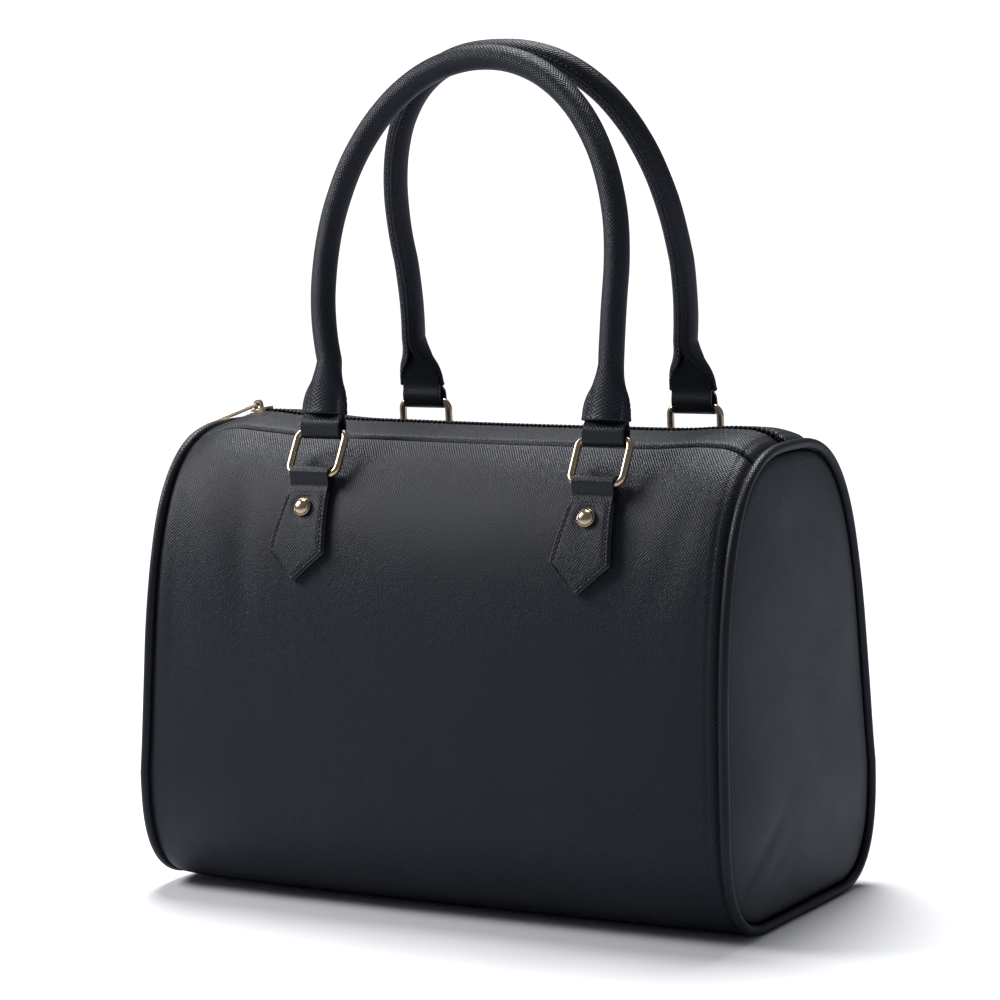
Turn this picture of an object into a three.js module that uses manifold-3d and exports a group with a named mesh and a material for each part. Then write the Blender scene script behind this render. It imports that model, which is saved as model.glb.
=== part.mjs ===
// Boston bag: a hollow barrel-shaped leather bag with a zip top and two rolled tube handles.
// Millimetres. X runs along the bag, Y from front (-) to back (+), Z up from the floor.
import * as THREE from 'three';
import { mergeVertices } from 'three/addons/utils/BufferGeometryUtils.js';
import Module from 'manifold-3d';

const wasm = await Module();
wasm.setup();

// Body of the bag
const BAG_LENGTH = 340; // between the middles of the two end pipings
const BAG_DEPTH = 181; // front to back at the fullest height, over the pipings
const BAG_HEIGHT = 240; // floor to the top of the right end's piping
const LEFT_END_RISE = 3.5; // the left end stands this much taller
const FULLEST_HEIGHT = 63; // height at which the section is deepest
const SHOULDER_TAPER = 4.7; // each side draws in this much above its fullest height
const END_LEAN = 2.6; // each end leans in this much above the same height
const LEFT_BASE_LIFT = 2.5; // the left end of the base curls up this much
const BASE_LIFT_START = 40; // where the curl starts, to the left of the middle
const BASE_FLAT = 80; // depth of the truly flat part of the base
const TOP_RISE = 12; // how far the top line can climb above the ends of the shell
const TOP_DROP = 2; // how far the shell's ends lie below the top of the pipings
const PANEL_BOW = 2.2; // bow of the front and back panels past the pipings' depth, or below it
const LEATHER = 2; // wall of every body panel, lining and backing included
const PIPING_DIAMETER = 6.2; // covered piping round each end
const GUSSET_DOME = 4; // padding of the end panels at their middle
const GUSSET_RECESS = 0.5; // end panel's edge, outside the piping's middle plane
const TOP_SEAM_FROM_MIDDLE = 37; // seam between front panel and top panel, from the zip
const BASE_SEAM_FROM_MIDDLE = 67; // seam between front panel and base, from the middle
const SEAM_GAP = 0.4; // between neighbouring leather pieces
const CLEARANCE = 0.35; // between any other pieces that seat on each other

// Zip
const ZIP_OPENING = 9; // between the two top panels
const TAPE_WIDTH = 23;
const TAPE_THICKNESS = 1;
const TEETH_WIDTH = 5.6;
const TEETH_PITCH = 2.5;
const TEETH_PROUD = 0.7; // crest of the teeth above the leather
const TEETH_NOTCH = 1; // depth of the notch between two teeth
const SLIDER_LENGTH = 11;
const SLIDER_WIDTH = 8.6;
const SLIDER_PLATE = 1.2;
const SLIDER_RAIL = 1; // thickness of the slider's side rails
const SLIDER_RAIL_LENGTH = 7.7;
const SLIDER_FROM_PIPING = 21; // middle of the slider from the left piping's middle
const BRIDGE_WIDTH = 2.2;
const BRIDGE_THICKNESS = 1.1;
const BRIDGE_SETBACK = 2; // bridge from the slider's middle, towards the left end
const HINGE_HEIGHT = 2.3; // puller's pivot above the slider plate
const PULLER_LENGTH = 36;
const PULLER_WIDTH = 5.4;
const PULLER_NECK = 3.6;
const PULLER_THICKNESS = 1.4;
const PULLER_ARM = 1.2; // width of each arm beside the bridge
const PULLER_EYE_ROOM = 1.6; // past the bridge, inside the puller's eye
const PULLER_REST_DEG = 20; // droop of the puller, which lies on the left piping

// Rings, lower tabs, straps and rivets
const HANDLE_SPACING = 165; // between the two rings of one handle
const RING_INNER_WIDTH = 25;
const RING_INNER_HEIGHT = 20;
const RING_WIRE = 4;
const RING_CORNER = 4.6; // corner radius of the wire's middle line
const STRAP_WIDTH = 23;
const STRAP_LAYER = 1.4; // one layer of turned strap leather
const STRAP_THICKNESS = 3; // two layers sewn together
const STRAP_FREE = 9; // from the ring's bar up to the handle's hood
const LEAF_LENGTH = 28; // from the ring's bar to the tip of the strap inside the hood
const TAB_LENGTH = 55; // from the ring's bar down to the point
const TAB_WIDTH = 33; // at the two lower corners
const TAB_THICKNESS = 3;
const RIVET_DIAMETER = 8.8;
const RIVET_DOME = 3.1;
const RIVET_DOWN = 17.6; // from the ring's bar

// Handles
const HANDLE_DIAMETER = 13;
const HANDLE_RISE = 194.8; // from the ring's bar to the middle of the tube at the top
const HANDLE_LEG = 82; // from the ring's bar to where the arch springs
const HOOD_LENGTH = 28; // flattened end of the handle
const HOOD_WIDTH = 26.6;
const HOOD_DEPTH = 8.8;
const HOOD_SHIFT = 1.2; // hood's middle, outwards from the strap

const FRONT = -1;
const BACK = 1;

// Where the two pairs of rings sit: sideways, and down from the top of the right end's piping
const FRONT_SHIFT = 8.2;
const BACK_SHIFT = 2;
const FRONT_SEAT_DOWN = 20;
const BACK_SEAT_DOWN = 17;
// How far the arch of each handle swells past its rings, to each side, and how far it stands
// sideways at its foot and at its crown
const FRONT_SWELL = 3.3;
const BACK_SWELL = 0.4;
const FRONT_SWAY = -4.4;
const BACK_SWAY = 4.4;
const FRONT_CROWN_SWAY = -5.8;
const BACK_CROWN_SWAY = -0.4;
const FRONT_TAB_HANG = -2.6; // the points of the front tabs hang to one side of their rings
const BACK_TAB_HANG = 0;

// The two handles: sideways place of the pair, height on the leather at which the ring's bar
// sits, lean of the rings and of the handle towards the middle, half width, sideways stand and
// squareness of the arch, and sideways hang of the tabs
const HANDLES = {
  front: {
    side: FRONT,
    shift: FRONT_SHIFT,
    seat: BAG_HEIGHT - FRONT_SEAT_DOWN,
    ringLean: 30,
    lean: 12.2,
    halfSpread: HANDLE_SPACING / 2 + FRONT_SWELL,
    sway: FRONT_SWAY,
    crownSway: FRONT_CROWN_SWAY,
    hang: FRONT_TAB_HANG,
    curve: 2.05,
  },
  back: {
    side: BACK,
    shift: BACK_SHIFT,
    seat: BAG_HEIGHT - BACK_SEAT_DOWN,
    ringLean: 2,
    lean: 16.2,
    halfSpread: HANDLE_SPACING / 2 + BACK_SWELL,
    sway: BACK_SWAY,
    crownSway: BACK_CROWN_SWAY,
    hang: BACK_TAB_HANG,
    curve: 2.3,
  },
};

// Corners of the section: 2 is an ellipse, more is squarer
const UPPER_CURVE = 2.95;
const LOWER_CURVE = 2.75;
const DOME_CURVE = 4;

// Cross-sections of the shell: place as a share of its half length, climb of the top line as
// a share of TOP_RISE, bow of the panels as a share of PANEL_BOW
const SECTIONS = [
  { along: -1, climb: 0, bow: -1 },
  { along: -0.965, climb: 0.21, bow: -0.3 },
  { along: -0.92, climb: 0.445, bow: 0.1 },
  { along: -0.86, climb: 0.6, bow: 0.35 },
  { along: -0.73, climb: 0.52, bow: 0.6 },
  { along: -0.6, climb: 0.4, bow: 0.75 },
  { along: -0.3, climb: 0.36, bow: 0.95 },
  { along: 0, climb: 0.355, bow: 1 },
  { along: 0.35, climb: 0.39, bow: 0.95 },
  { along: 0.68, climb: 0.45, bow: 0.65 },
  { along: 0.86, climb: 0.6, bow: 0.35 },
  { along: 0.93, climb: 0.53, bow: 0.05 },
  { along: 0.97, climb: 0.33, bow: -0.35 },
  { along: 1, climb: 0, bow: -1 },
];

// Slider plate from its narrow end to its nose: places and widths as shares of their halves
const SLIDER_ROWS = [
  { along: -1, wide: 0.72 },
  { along: -0.3, wide: 0.75 },
  { along: 0.45, wide: 1 },
  { along: 0.86, wide: 0.86 },
  { along: 1, wide: 0.5 },
];

// Outline of a lower tab: place down its length, width as a share of TAB_WIDTH
const TAB_ROWS = [
  { down: 0.15, wide: 0.72 },
  { down: 0.29, wide: 0.79 },
  { down: 0.43, wide: 0.86 },
  { down: 0.58, wide: 0.93 },
  { down: 0.73, wide: 1 },
  { down: 0.865, wide: 0.52 },
  { down: 1, wide: 0.04 },
];

const TAB_ACROSS = [-1, -0.5, 0, 0.5, 1]; // places across a tab, as shares of its half width

// Rivet's dome from its foot up: radius and height as shares of its own
const RIVET_ROWS = [
  { out: 0, up: 0 },
  { out: 0.9, up: 0 },
  { out: 1, up: 0.15 },
  { out: 0.94, up: 0.45 },
  { out: 0.72, up: 0.78 },
  { out: 0.38, up: 0.96 },
  { out: 0, up: 1 },
];

// Leaf of the strap inside the hood: place up its length, width as a share of STRAP_WIDTH
const LEAF_ROWS = [
  { up: 0.3, wide: 1 },
  { up: 0.55, wide: 1 },
  { up: 0.68, wide: 0.78 },
  { up: 0.84, wide: 0.4 },
  { up: 1, wide: 0.14 },
];

// Fullest place of the strap's loop above the ring's bar: height as a share of STRAP_FREE,
// reach to the front and back as shares of the loop's outer radius
const STRAP_BULGE = { up: 0.52, front: 1.04, back: -0.86 };
const STRAP_HOLE_TOP = 0.78; // top of the loop's hole, as a share of STRAP_FREE

// Hole of the lower tab's loop: place down to the crease, and its two sides as shares of
// the hole's radius
const TAB_HOLE = { down: 0.4, outer: 0.62, inner: -0.9, tip: 0.72 };

// Sections of a handle's flattened end: height as a share of HOOD_LENGTH from the hood's
// edge, and shares of the change from the round tube to the flat hood
const HOOD_SECTIONS = [
  { up: 0, flat: 1, shift: 1 },
  { up: 0.2, flat: 1, shift: 1 },
  { up: 0.42, flat: 0.8, shift: 0.85 },
  { up: 0.62, flat: 0.4, shift: 0.5 },
  { up: 0.8, flat: 0.14, shift: 0.2 },
  { up: 1, flat: 0, shift: 0 },
];

// Numbers of facets
const PROFILE_STEPS = 48;
const PANEL_ROWS = 15;
const BEND_WEIGHT = 70; // mm of length that count as much as one radian of bend
const PIPING_STEPS = 18;
const PIPING_SIDES = 8;
const RING_CORNER_STEPS = 4;
const RING_SIDES = 6;
const HANDLE_SIDES = 12;
const ARCH_STEPS = 20;
const LEG_STEPS = 3;
const LOOP_SIDES = 10;
const RIVET_SIDES = 14;
const PULLER_TIP_STEPS = 6;
const BEND_SAMPLES = 160; // places at which the bend of a section is looked at
const GUSSET_RINGS = [0.3, 0.7, 0.92, 1];
const SAME_PLACE = 1e-6;

const QUARTER = Math.PI / 2;
const SHELL_HALF = BAG_LENGTH / 2 - PIPING_DIAMETER / 2 - CLEARANCE;
// Radius of a loop's hole at its corners, so that its facets clear the wire
const LOOP_HOLE = (RING_WIRE / 2 + CLEARANCE) / Math.cos((2 * QUARTER) / LOOP_SIDES);
const LOOP_RADIUS = LOOP_HOLE + STRAP_LAYER;
// The wire drops away from the bar's line at the edges of the strap, so loops leave this room
const BAR_HALF = RING_INNER_WIDTH / 2 + RING_WIRE / 2 - RING_CORNER;
const BAR_OVERHANG = Math.max(0, STRAP_WIDTH / 2 - BAR_HALF);
const CORNER_DROP = RING_CORNER - Math.sqrt(Math.max(0, RING_CORNER ** 2 - BAR_OVERHANG ** 2));

// Materials
const LEATHER_BLACK = '#24252b';
const LEATHER_DEEP = '#1d1e23';
const ZIP_BLACK = '#141417';
const GOLD = '#c8a468';

function leather(colour) {
  return new THREE.MeshStandardMaterial({ color: colour, roughness: 0.55, metalness: 0 });
}

function metal() {
  return new THREE.MeshStandardMaterial({ color: GOLD, roughness: 0.25, metalness: 1 });
}

const bag = new THREE.Group();
bag.name = 'boston_bag';

function addPiece(name, geometry, material) {
  geometry.computeVertexNormals();
  const mesh = new THREE.Mesh(geometry, material);
  mesh.name = name;
  bag.add(mesh);
}

// Closed solids from loops of points, joined in order; an open run is capped at both ends
function loftLoops(loops, closed) {
  const count = loops[0].length;
  const positions = loops.flat().flatMap((point) => [point.x, point.y, point.z]);
  const faces = [];
  const spans = closed ? loops.length : loops.length - 1;
  for (let i = 0; i < spans; i += 1) {
    const here = i * count;
    const there = ((i + 1) % loops.length) * count;
    for (let j = 0; j < count; j += 1) {
      const next = (j + 1) % count;
      faces.push(here + j, here + next, there + next);
      faces.push(here + j, there + next, there + j);
    }
  }
  if (!closed) {
    [0, loops.length - 1].forEach((row, end) => {
      const middle = new THREE.Vector3();
      loops[row].forEach((point) => middle.addScaledVector(point, 1 / count));
      const hub = positions.length / 3;
      positions.push(middle.x, middle.y, middle.z);
      for (let j = 0; j < count; j += 1) {
        const a = row * count + j;
        const b = row * count + ((j + 1) % count);
        faces.push(...(end ? [a, b, hub] : [b, a, hub]));
      }
    });
  }
  return faceOutwards(positions, faces);
}

// Closed wall from a grid of points on its outer side and one on its inner side
function wallFromGrid(outer, inner) {
  const loops = outer.map((row, i) => [...row, ...[...inner[i]].reverse()]);
  const rows = outer.length;
  const columns = outer[0].length;
  const positions = loops.flat().flatMap((point) => [point.x, point.y, point.z]);
  const faces = [];
  const around = 2 * columns;
  for (let i = 0; i < rows - 1; i += 1) {
    for (let j = 0; j < around; j += 1) {
      const next = (j + 1) % around;
      const here = i * around;
      const there = here + around;
      faces.push(here + j, here + next, there + next);
      faces.push(here + j, there + next, there + j);
    }
  }
  [0, rows - 1].forEach((row, end) => {
    for (let j = 0; j < columns - 1; j += 1) {
      const start = row * around;
      const a = start + j;
      const b = start + j + 1;
      const c = start + around - 2 - j;
      const d = start + around - 1 - j;
      faces.push(...(end ? [a, b, c, a, c, d] : [a, c, b, a, d, c]));
    }
  });
  return faceOutwards(positions, faces);
}

function faceOutwards(positions, faces) {
  const corner = (index) => new THREE.Vector3().fromArray(positions, index * 3);
  let volume = 0;
  for (let i = 0; i < faces.length; i += 3) {
    const [a, b, c] = [corner(faces[i]), corner(faces[i + 1]), corner(faces[i + 2])];
    volume += a.dot(b.cross(c));
  }
  const geometry = new THREE.BufferGeometry();
  geometry.setAttribute('position', new THREE.Float32BufferAttribute(positions, 3));
  geometry.setIndex(volume < 0 ? [...faces].reverse() : faces);
  return geometry;
}

function toSolid(geometry) {
  const bare = geometry.clone();
  bare.deleteAttribute('normal');
  bare.deleteAttribute('uv');
  const merged = mergeVertices(bare);
  return new wasm.Manifold(new wasm.Mesh({
    numProp: 3,
    vertProperties: Float32Array.from(merged.attributes.position.array),
    triVerts: Uint32Array.from(merged.index.array),
  }));
}

function toGeometry(solid) {
  const mesh = solid.getMesh();
  const geometry = new THREE.BufferGeometry();
  geometry.setAttribute('position', new THREE.Float32BufferAttribute(mesh.vertProperties, 3));
  geometry.setIndex([...mesh.triVerts]);
  return geometry;
}

// Value of one column of SECTIONS at a place along the bag
function alongBag(x, column) {
  const share = THREE.MathUtils.clamp(x / SHELL_HALF, -1, 1);
  const next = Math.max(1, SECTIONS.findIndex((row) => row.along >= share));
  const [a, b] = [SECTIONS[next - 1], SECTIONS[next]];
  const t = (share - a.along) / (b.along - a.along);
  return THREE.MathUtils.lerp(a[column], b[column], t);
}

// How far the curl of the base lifts it at a place along the bag
function baseLift(x) {
  const t = Math.max(0, (-x - BASE_LIFT_START) / (BAG_LENGTH / 2 - BASE_LIFT_START));
  return LEFT_BASE_LIFT * t * t;
}

// Share of the full taper and lean reached at a share of the way up from the fullest height
function drawnIn(share) {
  return 1 - (1 - THREE.MathUtils.clamp(share, 0, 1)) ** 3;
}

// Place along the bag after its ends lean in, at a height
function leanIn(x, height) {
  const share = (height - FULLEST_HEIGHT) / (BAG_HEIGHT - FULLEST_HEIGHT);
  return x - (x / (BAG_LENGTH / 2)) * END_LEAN * drawnIn(share);
}

// Half of a cross-section, from the middle of the base out, up and in to the middle of the top
function halfSection(halfDepth, height, floor) {
  const flat = BASE_FLAT / 2;
  const points = [new THREE.Vector2(0, floor)];
  for (let i = 0; i <= PROFILE_STEPS; i += 1) {
    const angle = (i / PROFILE_STEPS) * QUARTER;
    const reach = Math.sin(angle) ** (2 / LOWER_CURVE);
    const drop = Math.cos(angle) ** (2 / LOWER_CURVE);
    const z = floor + (FULLEST_HEIGHT - floor) * (1 - drop);
    points.push(new THREE.Vector2(flat + (halfDepth - flat) * reach, z));
  }
  for (let i = 1; i <= PROFILE_STEPS; i += 1) {
    const angle = (i / PROFILE_STEPS) * QUARTER;
    const reach = Math.max(0, Math.cos(angle)) ** (2 / UPPER_CURVE);
    const climb = Math.sin(angle) ** (2 / UPPER_CURVE);
    const z = FULLEST_HEIGHT + (height - FULLEST_HEIGHT) * climb;
    const taper = 1 - (SHOULDER_TAPER / (BAG_DEPTH / 2)) * drawnIn(climb);
    points.push(new THREE.Vector2(halfDepth * reach * taper, z));
  }
  const lengths = [0];
  points.slice(1).forEach((point, i) => lengths.push(lengths[i] + point.distanceTo(points[i])));
  return { points, lengths, total: lengths[lengths.length - 1] };
}

// Top of the pipings, taken straight from one end of the bag to the other
function pipingTop(x) {
  return BAG_HEIGHT + LEFT_END_RISE * (0.5 - x / BAG_LENGTH);
}

function shellSection(x) {
  const halfDepth = BAG_DEPTH / 2 + alongBag(x, 'bow') * PANEL_BOW;
  const height = pipingTop(x) - TOP_DROP + alongBag(x, 'climb') * TOP_RISE;
  return halfSection(halfDepth, height, baseLift(x));
}

function placeAt(section, distance) {
  const { points, lengths, total } = section;
  const d = THREE.MathUtils.clamp(distance, 0, total);
  const next = Math.max(1, lengths.findIndex((length) => length >= d));
  const t = (d - lengths[next - 1]) / (lengths[next] - lengths[next - 1]);
  return points[next - 1].clone().lerp(points[next], t);
}

const NORMAL_REACH = 3; // mm each way over which the direction of the surface is taken

// Outward direction of the section at a distance along it
function outwardAt(section, distance) {
  const lower = placeAt(section, distance - NORMAL_REACH);
  const upper = placeAt(section, distance + NORMAL_REACH);
  const run = upper.sub(lower).normalize();
  if (distance > section.total - NORMAL_REACH) return new THREE.Vector2(0, 1);
  return new THREE.Vector2(run.y, -run.x);
}

// Point at a distance along the section of one side, moved outwards by an offset
function onSection(section, side, x, distance, offset) {
  const point = placeAt(section, distance);
  point.addScaledVector(outwardAt(section, distance), offset);
  return new THREE.Vector3(x, side * point.x, point.y);
}

// Distance along the section at which the top is a given depth from the middle
function whereTopDepth(section, depth) {
  const last = section.points.length - 1;
  let i = last;
  while (section.points[i].x < depth) i -= 1;
  const [a, b] = [section.points[i], section.points[i + 1]];
  const t = (a.x - depth) / (a.x - b.x);
  return THREE.MathUtils.lerp(section.lengths[i], section.lengths[i + 1], t);
}

// Distance along the section at which the base's turn is a given depth from the middle
function whereBaseDepth(section, depth) {
  const i = section.points.findIndex((point) => point.x >= depth);
  const [a, b] = [section.points[i - 1], section.points[i]];
  const t = (depth - a.x) / (b.x - a.x);
  return THREE.MathUtils.lerp(section.lengths[i - 1], section.lengths[i], t);
}

// Distance along the section at which its upper part is at a given height
function whereHeight(section, height) {
  const i = section.points.findIndex((point) => point.y >= height);
  const [a, b] = [section.points[i - 1], section.points[i]];
  const t = (height - a.y) / (b.y - a.y);
  return THREE.MathUtils.lerp(section.lengths[i - 1], section.lengths[i], t);
}

// Distances from one place to another, closer together where the section bends
function spacedByBend(section, from, to, count) {
  const step = (to - from) / BEND_SAMPLES;
  const weights = [0];
  for (let i = 1; i <= BEND_SAMPLES; i += 1) {
    const a = outwardAt(section, from + (i - 1) * step);
    const b = outwardAt(section, from + i * step);
    weights.push(weights[i - 1] + step + a.distanceTo(b) * BEND_WEIGHT);
  }
  const places = [];
  for (let j = 0; j <= count; j += 1) {
    const goal = (weights[BEND_SAMPLES] * j) / count;
    const next = Math.max(1, weights.findIndex((weight) => weight >= goal));
    const t = (goal - weights[next - 1]) / (weights[next] - weights[next - 1]);
    places.push(from + (next - 1 + Math.min(1, t)) * step);
  }
  return places;
}

// The same, leaning in with the ends of the bag
function onShell(section, side, x, distance, offset) {
  const point = onSection(section, side, x, distance, offset);
  point.x = leanIn(x, point.z);
  return point;
}

// Leather shell: one wall between two places on the section, all along the bag
function shellPanel(side, columnsAt) {
  const outer = [];
  const inner = [];
  SECTIONS.forEach(({ along }) => {
    const x = along * SHELL_HALF;
    const section = shellSection(x);
    const columns = columnsAt(section);
    outer.push(columns.map((d) => onShell(section, side, x, d, 0)));
    inner.push(columns.map((d) => onShell(section, side, x, d, -LEATHER)));
  });
  return wallFromGrid(outer, inner);
}

const TOP_PANEL_COLUMNS = 4;

[['front', FRONT], ['back', BACK]].forEach(([name, side]) => {
  const panel = shellPanel(side, (section) => {
    const from = whereBaseDepth(section, BASE_SEAM_FROM_MIDDLE) + SEAM_GAP / 2;
    const to = whereTopDepth(section, TOP_SEAM_FROM_MIDDLE) - SEAM_GAP / 2;
    return spacedByBend(section, from, to, PANEL_ROWS);
  });
  addPiece(`${name}_panel`, panel, leather(LEATHER_BLACK));
  const top = shellPanel(side, (section) => {
    const from = whereTopDepth(section, TOP_SEAM_FROM_MIDDLE) + SEAM_GAP / 2;
    const to = whereTopDepth(section, ZIP_OPENING / 2);
    return spacedByBend(section, from, to, TOP_PANEL_COLUMNS);
  });
  addPiece(`top_panel_${name}`, top, leather(LEATHER_BLACK));
});

// A strip across the middle of the bag, from one side's section over to the other's
function middleStrip(halfColumnsAt, upper, lower) {
  const outer = [];
  const inner = [];
  SECTIONS.forEach(({ along }) => {
    const x = along * SHELL_HALF;
    const section = shellSection(x);
    const columns = halfColumnsAt(section);
    const across = [
      ...[...columns].reverse().map((d) => [FRONT, d]),
      ...columns.slice(1).map((d) => [BACK, d]),
    ];
    outer.push(across.map(([side, d]) => onShell(section, side, x, d, upper)));
    inner.push(across.map(([side, d]) => onShell(section, side, x, d, lower)));
  });
  return wallFromGrid(outer, inner);
}

const basePanel = middleStrip((section) => {
  const flat = BASE_FLAT / 2;
  const seam = whereBaseDepth(section, BASE_SEAM_FROM_MIDDLE) - SEAM_GAP / 2;
  return [0, flat - NORMAL_REACH, (flat + seam) / 2, seam];
}, 0, -LEATHER);
addPiece('base_panel', basePanel, leather(LEATHER_DEEP));

// Outline of a bag end, set in from the pipings' outer edge: once round from the base's middle
function endOutline(end, inset, steps) {
  const x = (end * BAG_LENGTH) / 2;
  const section = halfSection(BAG_DEPTH / 2, pipingTop(x), baseLift(x));
  const places = spacedByBend(section, 0, section.total, steps);
  const half = (side) => places.map((d) => {
    const point = onSection(section, side, 0, d, -inset);
    const out = outwardAt(section, d);
    return { point, out: new THREE.Vector3(0, side * out.x, out.y) };
  });
  return [...half(BACK), ...half(FRONT).reverse().slice(1, -1)];
}

function pipingLoops(end) {
  const x = (end * BAG_LENGTH) / 2;
  return endOutline(end, PIPING_DIAMETER / 2, PIPING_STEPS).map(({ point, out }) => {
    const loop = [];
    for (let k = 0; k < PIPING_SIDES; k += 1) {
      const angle = ((k + 0.5) / PIPING_SIDES) * 4 * QUARTER;
      const place = new THREE.Vector3(leanIn(x, point.z), point.y, point.z);
      place.addScaledVector(out, (Math.cos(angle) * PIPING_DIAMETER) / 2);
      place.x += (Math.sin(angle) * PIPING_DIAMETER) / 2;
      loop.push(place);
    }
    return loop;
  });
}

// End panel: a padded arch inside the piping's ring
function gusset(end) {
  const outline = endOutline(end, PIPING_DIAMETER + CLEARANCE, PIPING_STEPS);
  const middle = new THREE.Vector3(0, 0, BAG_HEIGHT / 2);
  const edge = BAG_LENGTH / 2 + GUSSET_RECESS;
  const ring = (share, level) => outline.map(({ point }) => {
    const place = middle.clone().lerp(point, share);
    place.x = end * (edge + GUSSET_DOME * (1 - share ** DOME_CURVE) + level);
    place.x += leanIn((end * BAG_LENGTH) / 2, place.z) - (end * BAG_LENGTH) / 2;
    return place;
  });
  const innerRings = GUSSET_RINGS.map((share) => ring(share, -LEATHER));
  const outerRings = [...GUSSET_RINGS].reverse().map((share) => ring(share, 0));
  return loftLoops([...innerRings, ...outerRings], false);
}

[['left', -1], ['right', 1]].forEach(([name, end]) => {
  addPiece(`gusset_${name}`, gusset(end), leather(LEATHER_BLACK));
  const piping = loftLoops(pipingLoops(end), true);
  addPiece(`piping_${name}`, piping, leather(LEATHER_DEEP));
});

// Zip tape under the edges of the top panels
const tapeTop = -(LEATHER + CLEARANCE);
const tape = middleStrip((section) => [
  section.total,
  whereTopDepth(section, ZIP_OPENING / 2),
  whereTopDepth(section, TAPE_WIDTH / 2),
], tapeTop, tapeTop - TAPE_THICKNESS);
addPiece('zip_tape', tape, new THREE.MeshStandardMaterial({
  color: ZIP_BLACK, roughness: 0.9, metalness: 0,
}));

// Along the top of the bag its ends lean in all the way
const TOP_LEAN = 1 - END_LEAN / (BAG_LENGTH / 2);
const TOP_HALF = SHELL_HALF * TOP_LEAN;

function topLine(x) {
  return shellSection(x / TOP_LEAN).points.at(-1).y;
}

// Shape drawn in X and Z, cut to a width across the bag about the middle
function acrossBag(shape, width) {
  const geometry = new THREE.ExtrudeGeometry(shape, { depth: width, bevelEnabled: false });
  const toBag = new THREE.Matrix4().makeBasis(
    new THREE.Vector3(1, 0, 0),
    new THREE.Vector3(0, 0, 1),
    new THREE.Vector3(0, -1, 0),
  );
  return geometry.applyMatrix4(toBag).translate(0, width / 2, 0);
}

// Teeth: one comb whose crests follow the top line
const toothCount = Math.floor((2 * TOP_HALF) / TEETH_PITCH);
const comb = [];
for (let i = 0; i <= 2 * toothCount; i += 1) {
  const x = -TOP_HALF + (i / toothCount) * TOP_HALF;
  const notch = i % 2 ? 0 : TEETH_NOTCH;
  comb.push(new THREE.Vector2(x, topLine(x) + TEETH_PROUD - notch));
}
[...SECTIONS].reverse().forEach(({ along }) => {
  const x = along * TOP_HALF;
  comb.push(new THREE.Vector2(x, topLine(x) + tapeTop + CLEARANCE));
});
addPiece('zip_teeth', acrossBag(new THREE.Shape(comb), TEETH_WIDTH), new THREE.MeshStandardMaterial({
  color: ZIP_BLACK, roughness: 0.35, metalness: 0.1,
}));

// Slider, drawn level with the crests of the teeth at its origin and tilted with the zip
const sliderX = -(BAG_LENGTH / 2) * TOP_LEAN + SLIDER_FROM_PIPING;
const sliderHalf = SLIDER_LENGTH / 2;
const sliderEnds = [sliderX - sliderHalf, sliderX + sliderHalf].map(topLine);
const sliderTilt = Math.atan2(sliderEnds[1] - sliderEnds[0], SLIDER_LENGTH);
const sliderSeat = Math.max(topLine(sliderX), (sliderEnds[0] + sliderEnds[1]) / 2);
const plateBottom = TEETH_PROUD + CLEARANCE;
const plateTop = plateBottom + SLIDER_PLATE;
const hingeRise = plateTop + HINGE_HEIGHT;
const bridgeInner = (PULLER_THICKNESS / 2) * Math.SQRT2 + CLEARANCE;
const bridgeOuter = bridgeInner + BRIDGE_THICKNESS;

function placeOnZip(geometry) {
  return geometry.rotateY(-sliderTilt).translate(sliderX, 0, sliderSeat);
}

function makeSlider() {
  const rim = (side) => SLIDER_ROWS.map(({ along, wide }) => (
    new THREE.Vector2(along * sliderHalf, (side * wide * SLIDER_WIDTH) / 2)));
  const plan = new THREE.Shape([...rim(FRONT), ...rim(BACK).reverse()]);
  const options = { depth: SLIDER_PLATE, bevelEnabled: false };
  let solid = toSolid(new THREE.ExtrudeGeometry(plan, options).translate(0, 0, plateBottom));
  const railTop = plateBottom + SLIDER_PLATE / 2;
  const railHeight = railTop - (tapeTop + CLEARANCE);
  [FRONT, BACK].forEach((side) => {
    const rail = new THREE.BoxGeometry(SLIDER_RAIL_LENGTH, SLIDER_RAIL, railHeight);
    const y = side * (ZIP_OPENING / 2 - CLEARANCE - SLIDER_RAIL / 2);
    solid = solid.add(toSolid(rail.translate(SLIDER_RAIL / 2, y, railTop - railHeight / 2)));
  });
  const arch = new THREE.Shape();
  const foot = plateTop - SLIDER_PLATE / 2;
  arch.moveTo(bridgeOuter, foot);
  arch.lineTo(bridgeOuter, hingeRise);
  arch.absarc(0, hingeRise, bridgeOuter, 0, 2 * QUARTER, false);
  arch.lineTo(-bridgeOuter, foot);
  arch.lineTo(-bridgeInner, foot);
  arch.lineTo(-bridgeInner, hingeRise);
  arch.absarc(0, hingeRise, bridgeInner, 2 * QUARTER, 0, true);
  arch.lineTo(bridgeInner, foot);
  const bridge = acrossBag(arch, BRIDGE_WIDTH).translate(-BRIDGE_SETBACK, 0, 0);
  return toGeometry(solid.add(toSolid(bridge)));
}

addPiece('zip_slider', placeOnZip(makeSlider()), metal());

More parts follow.
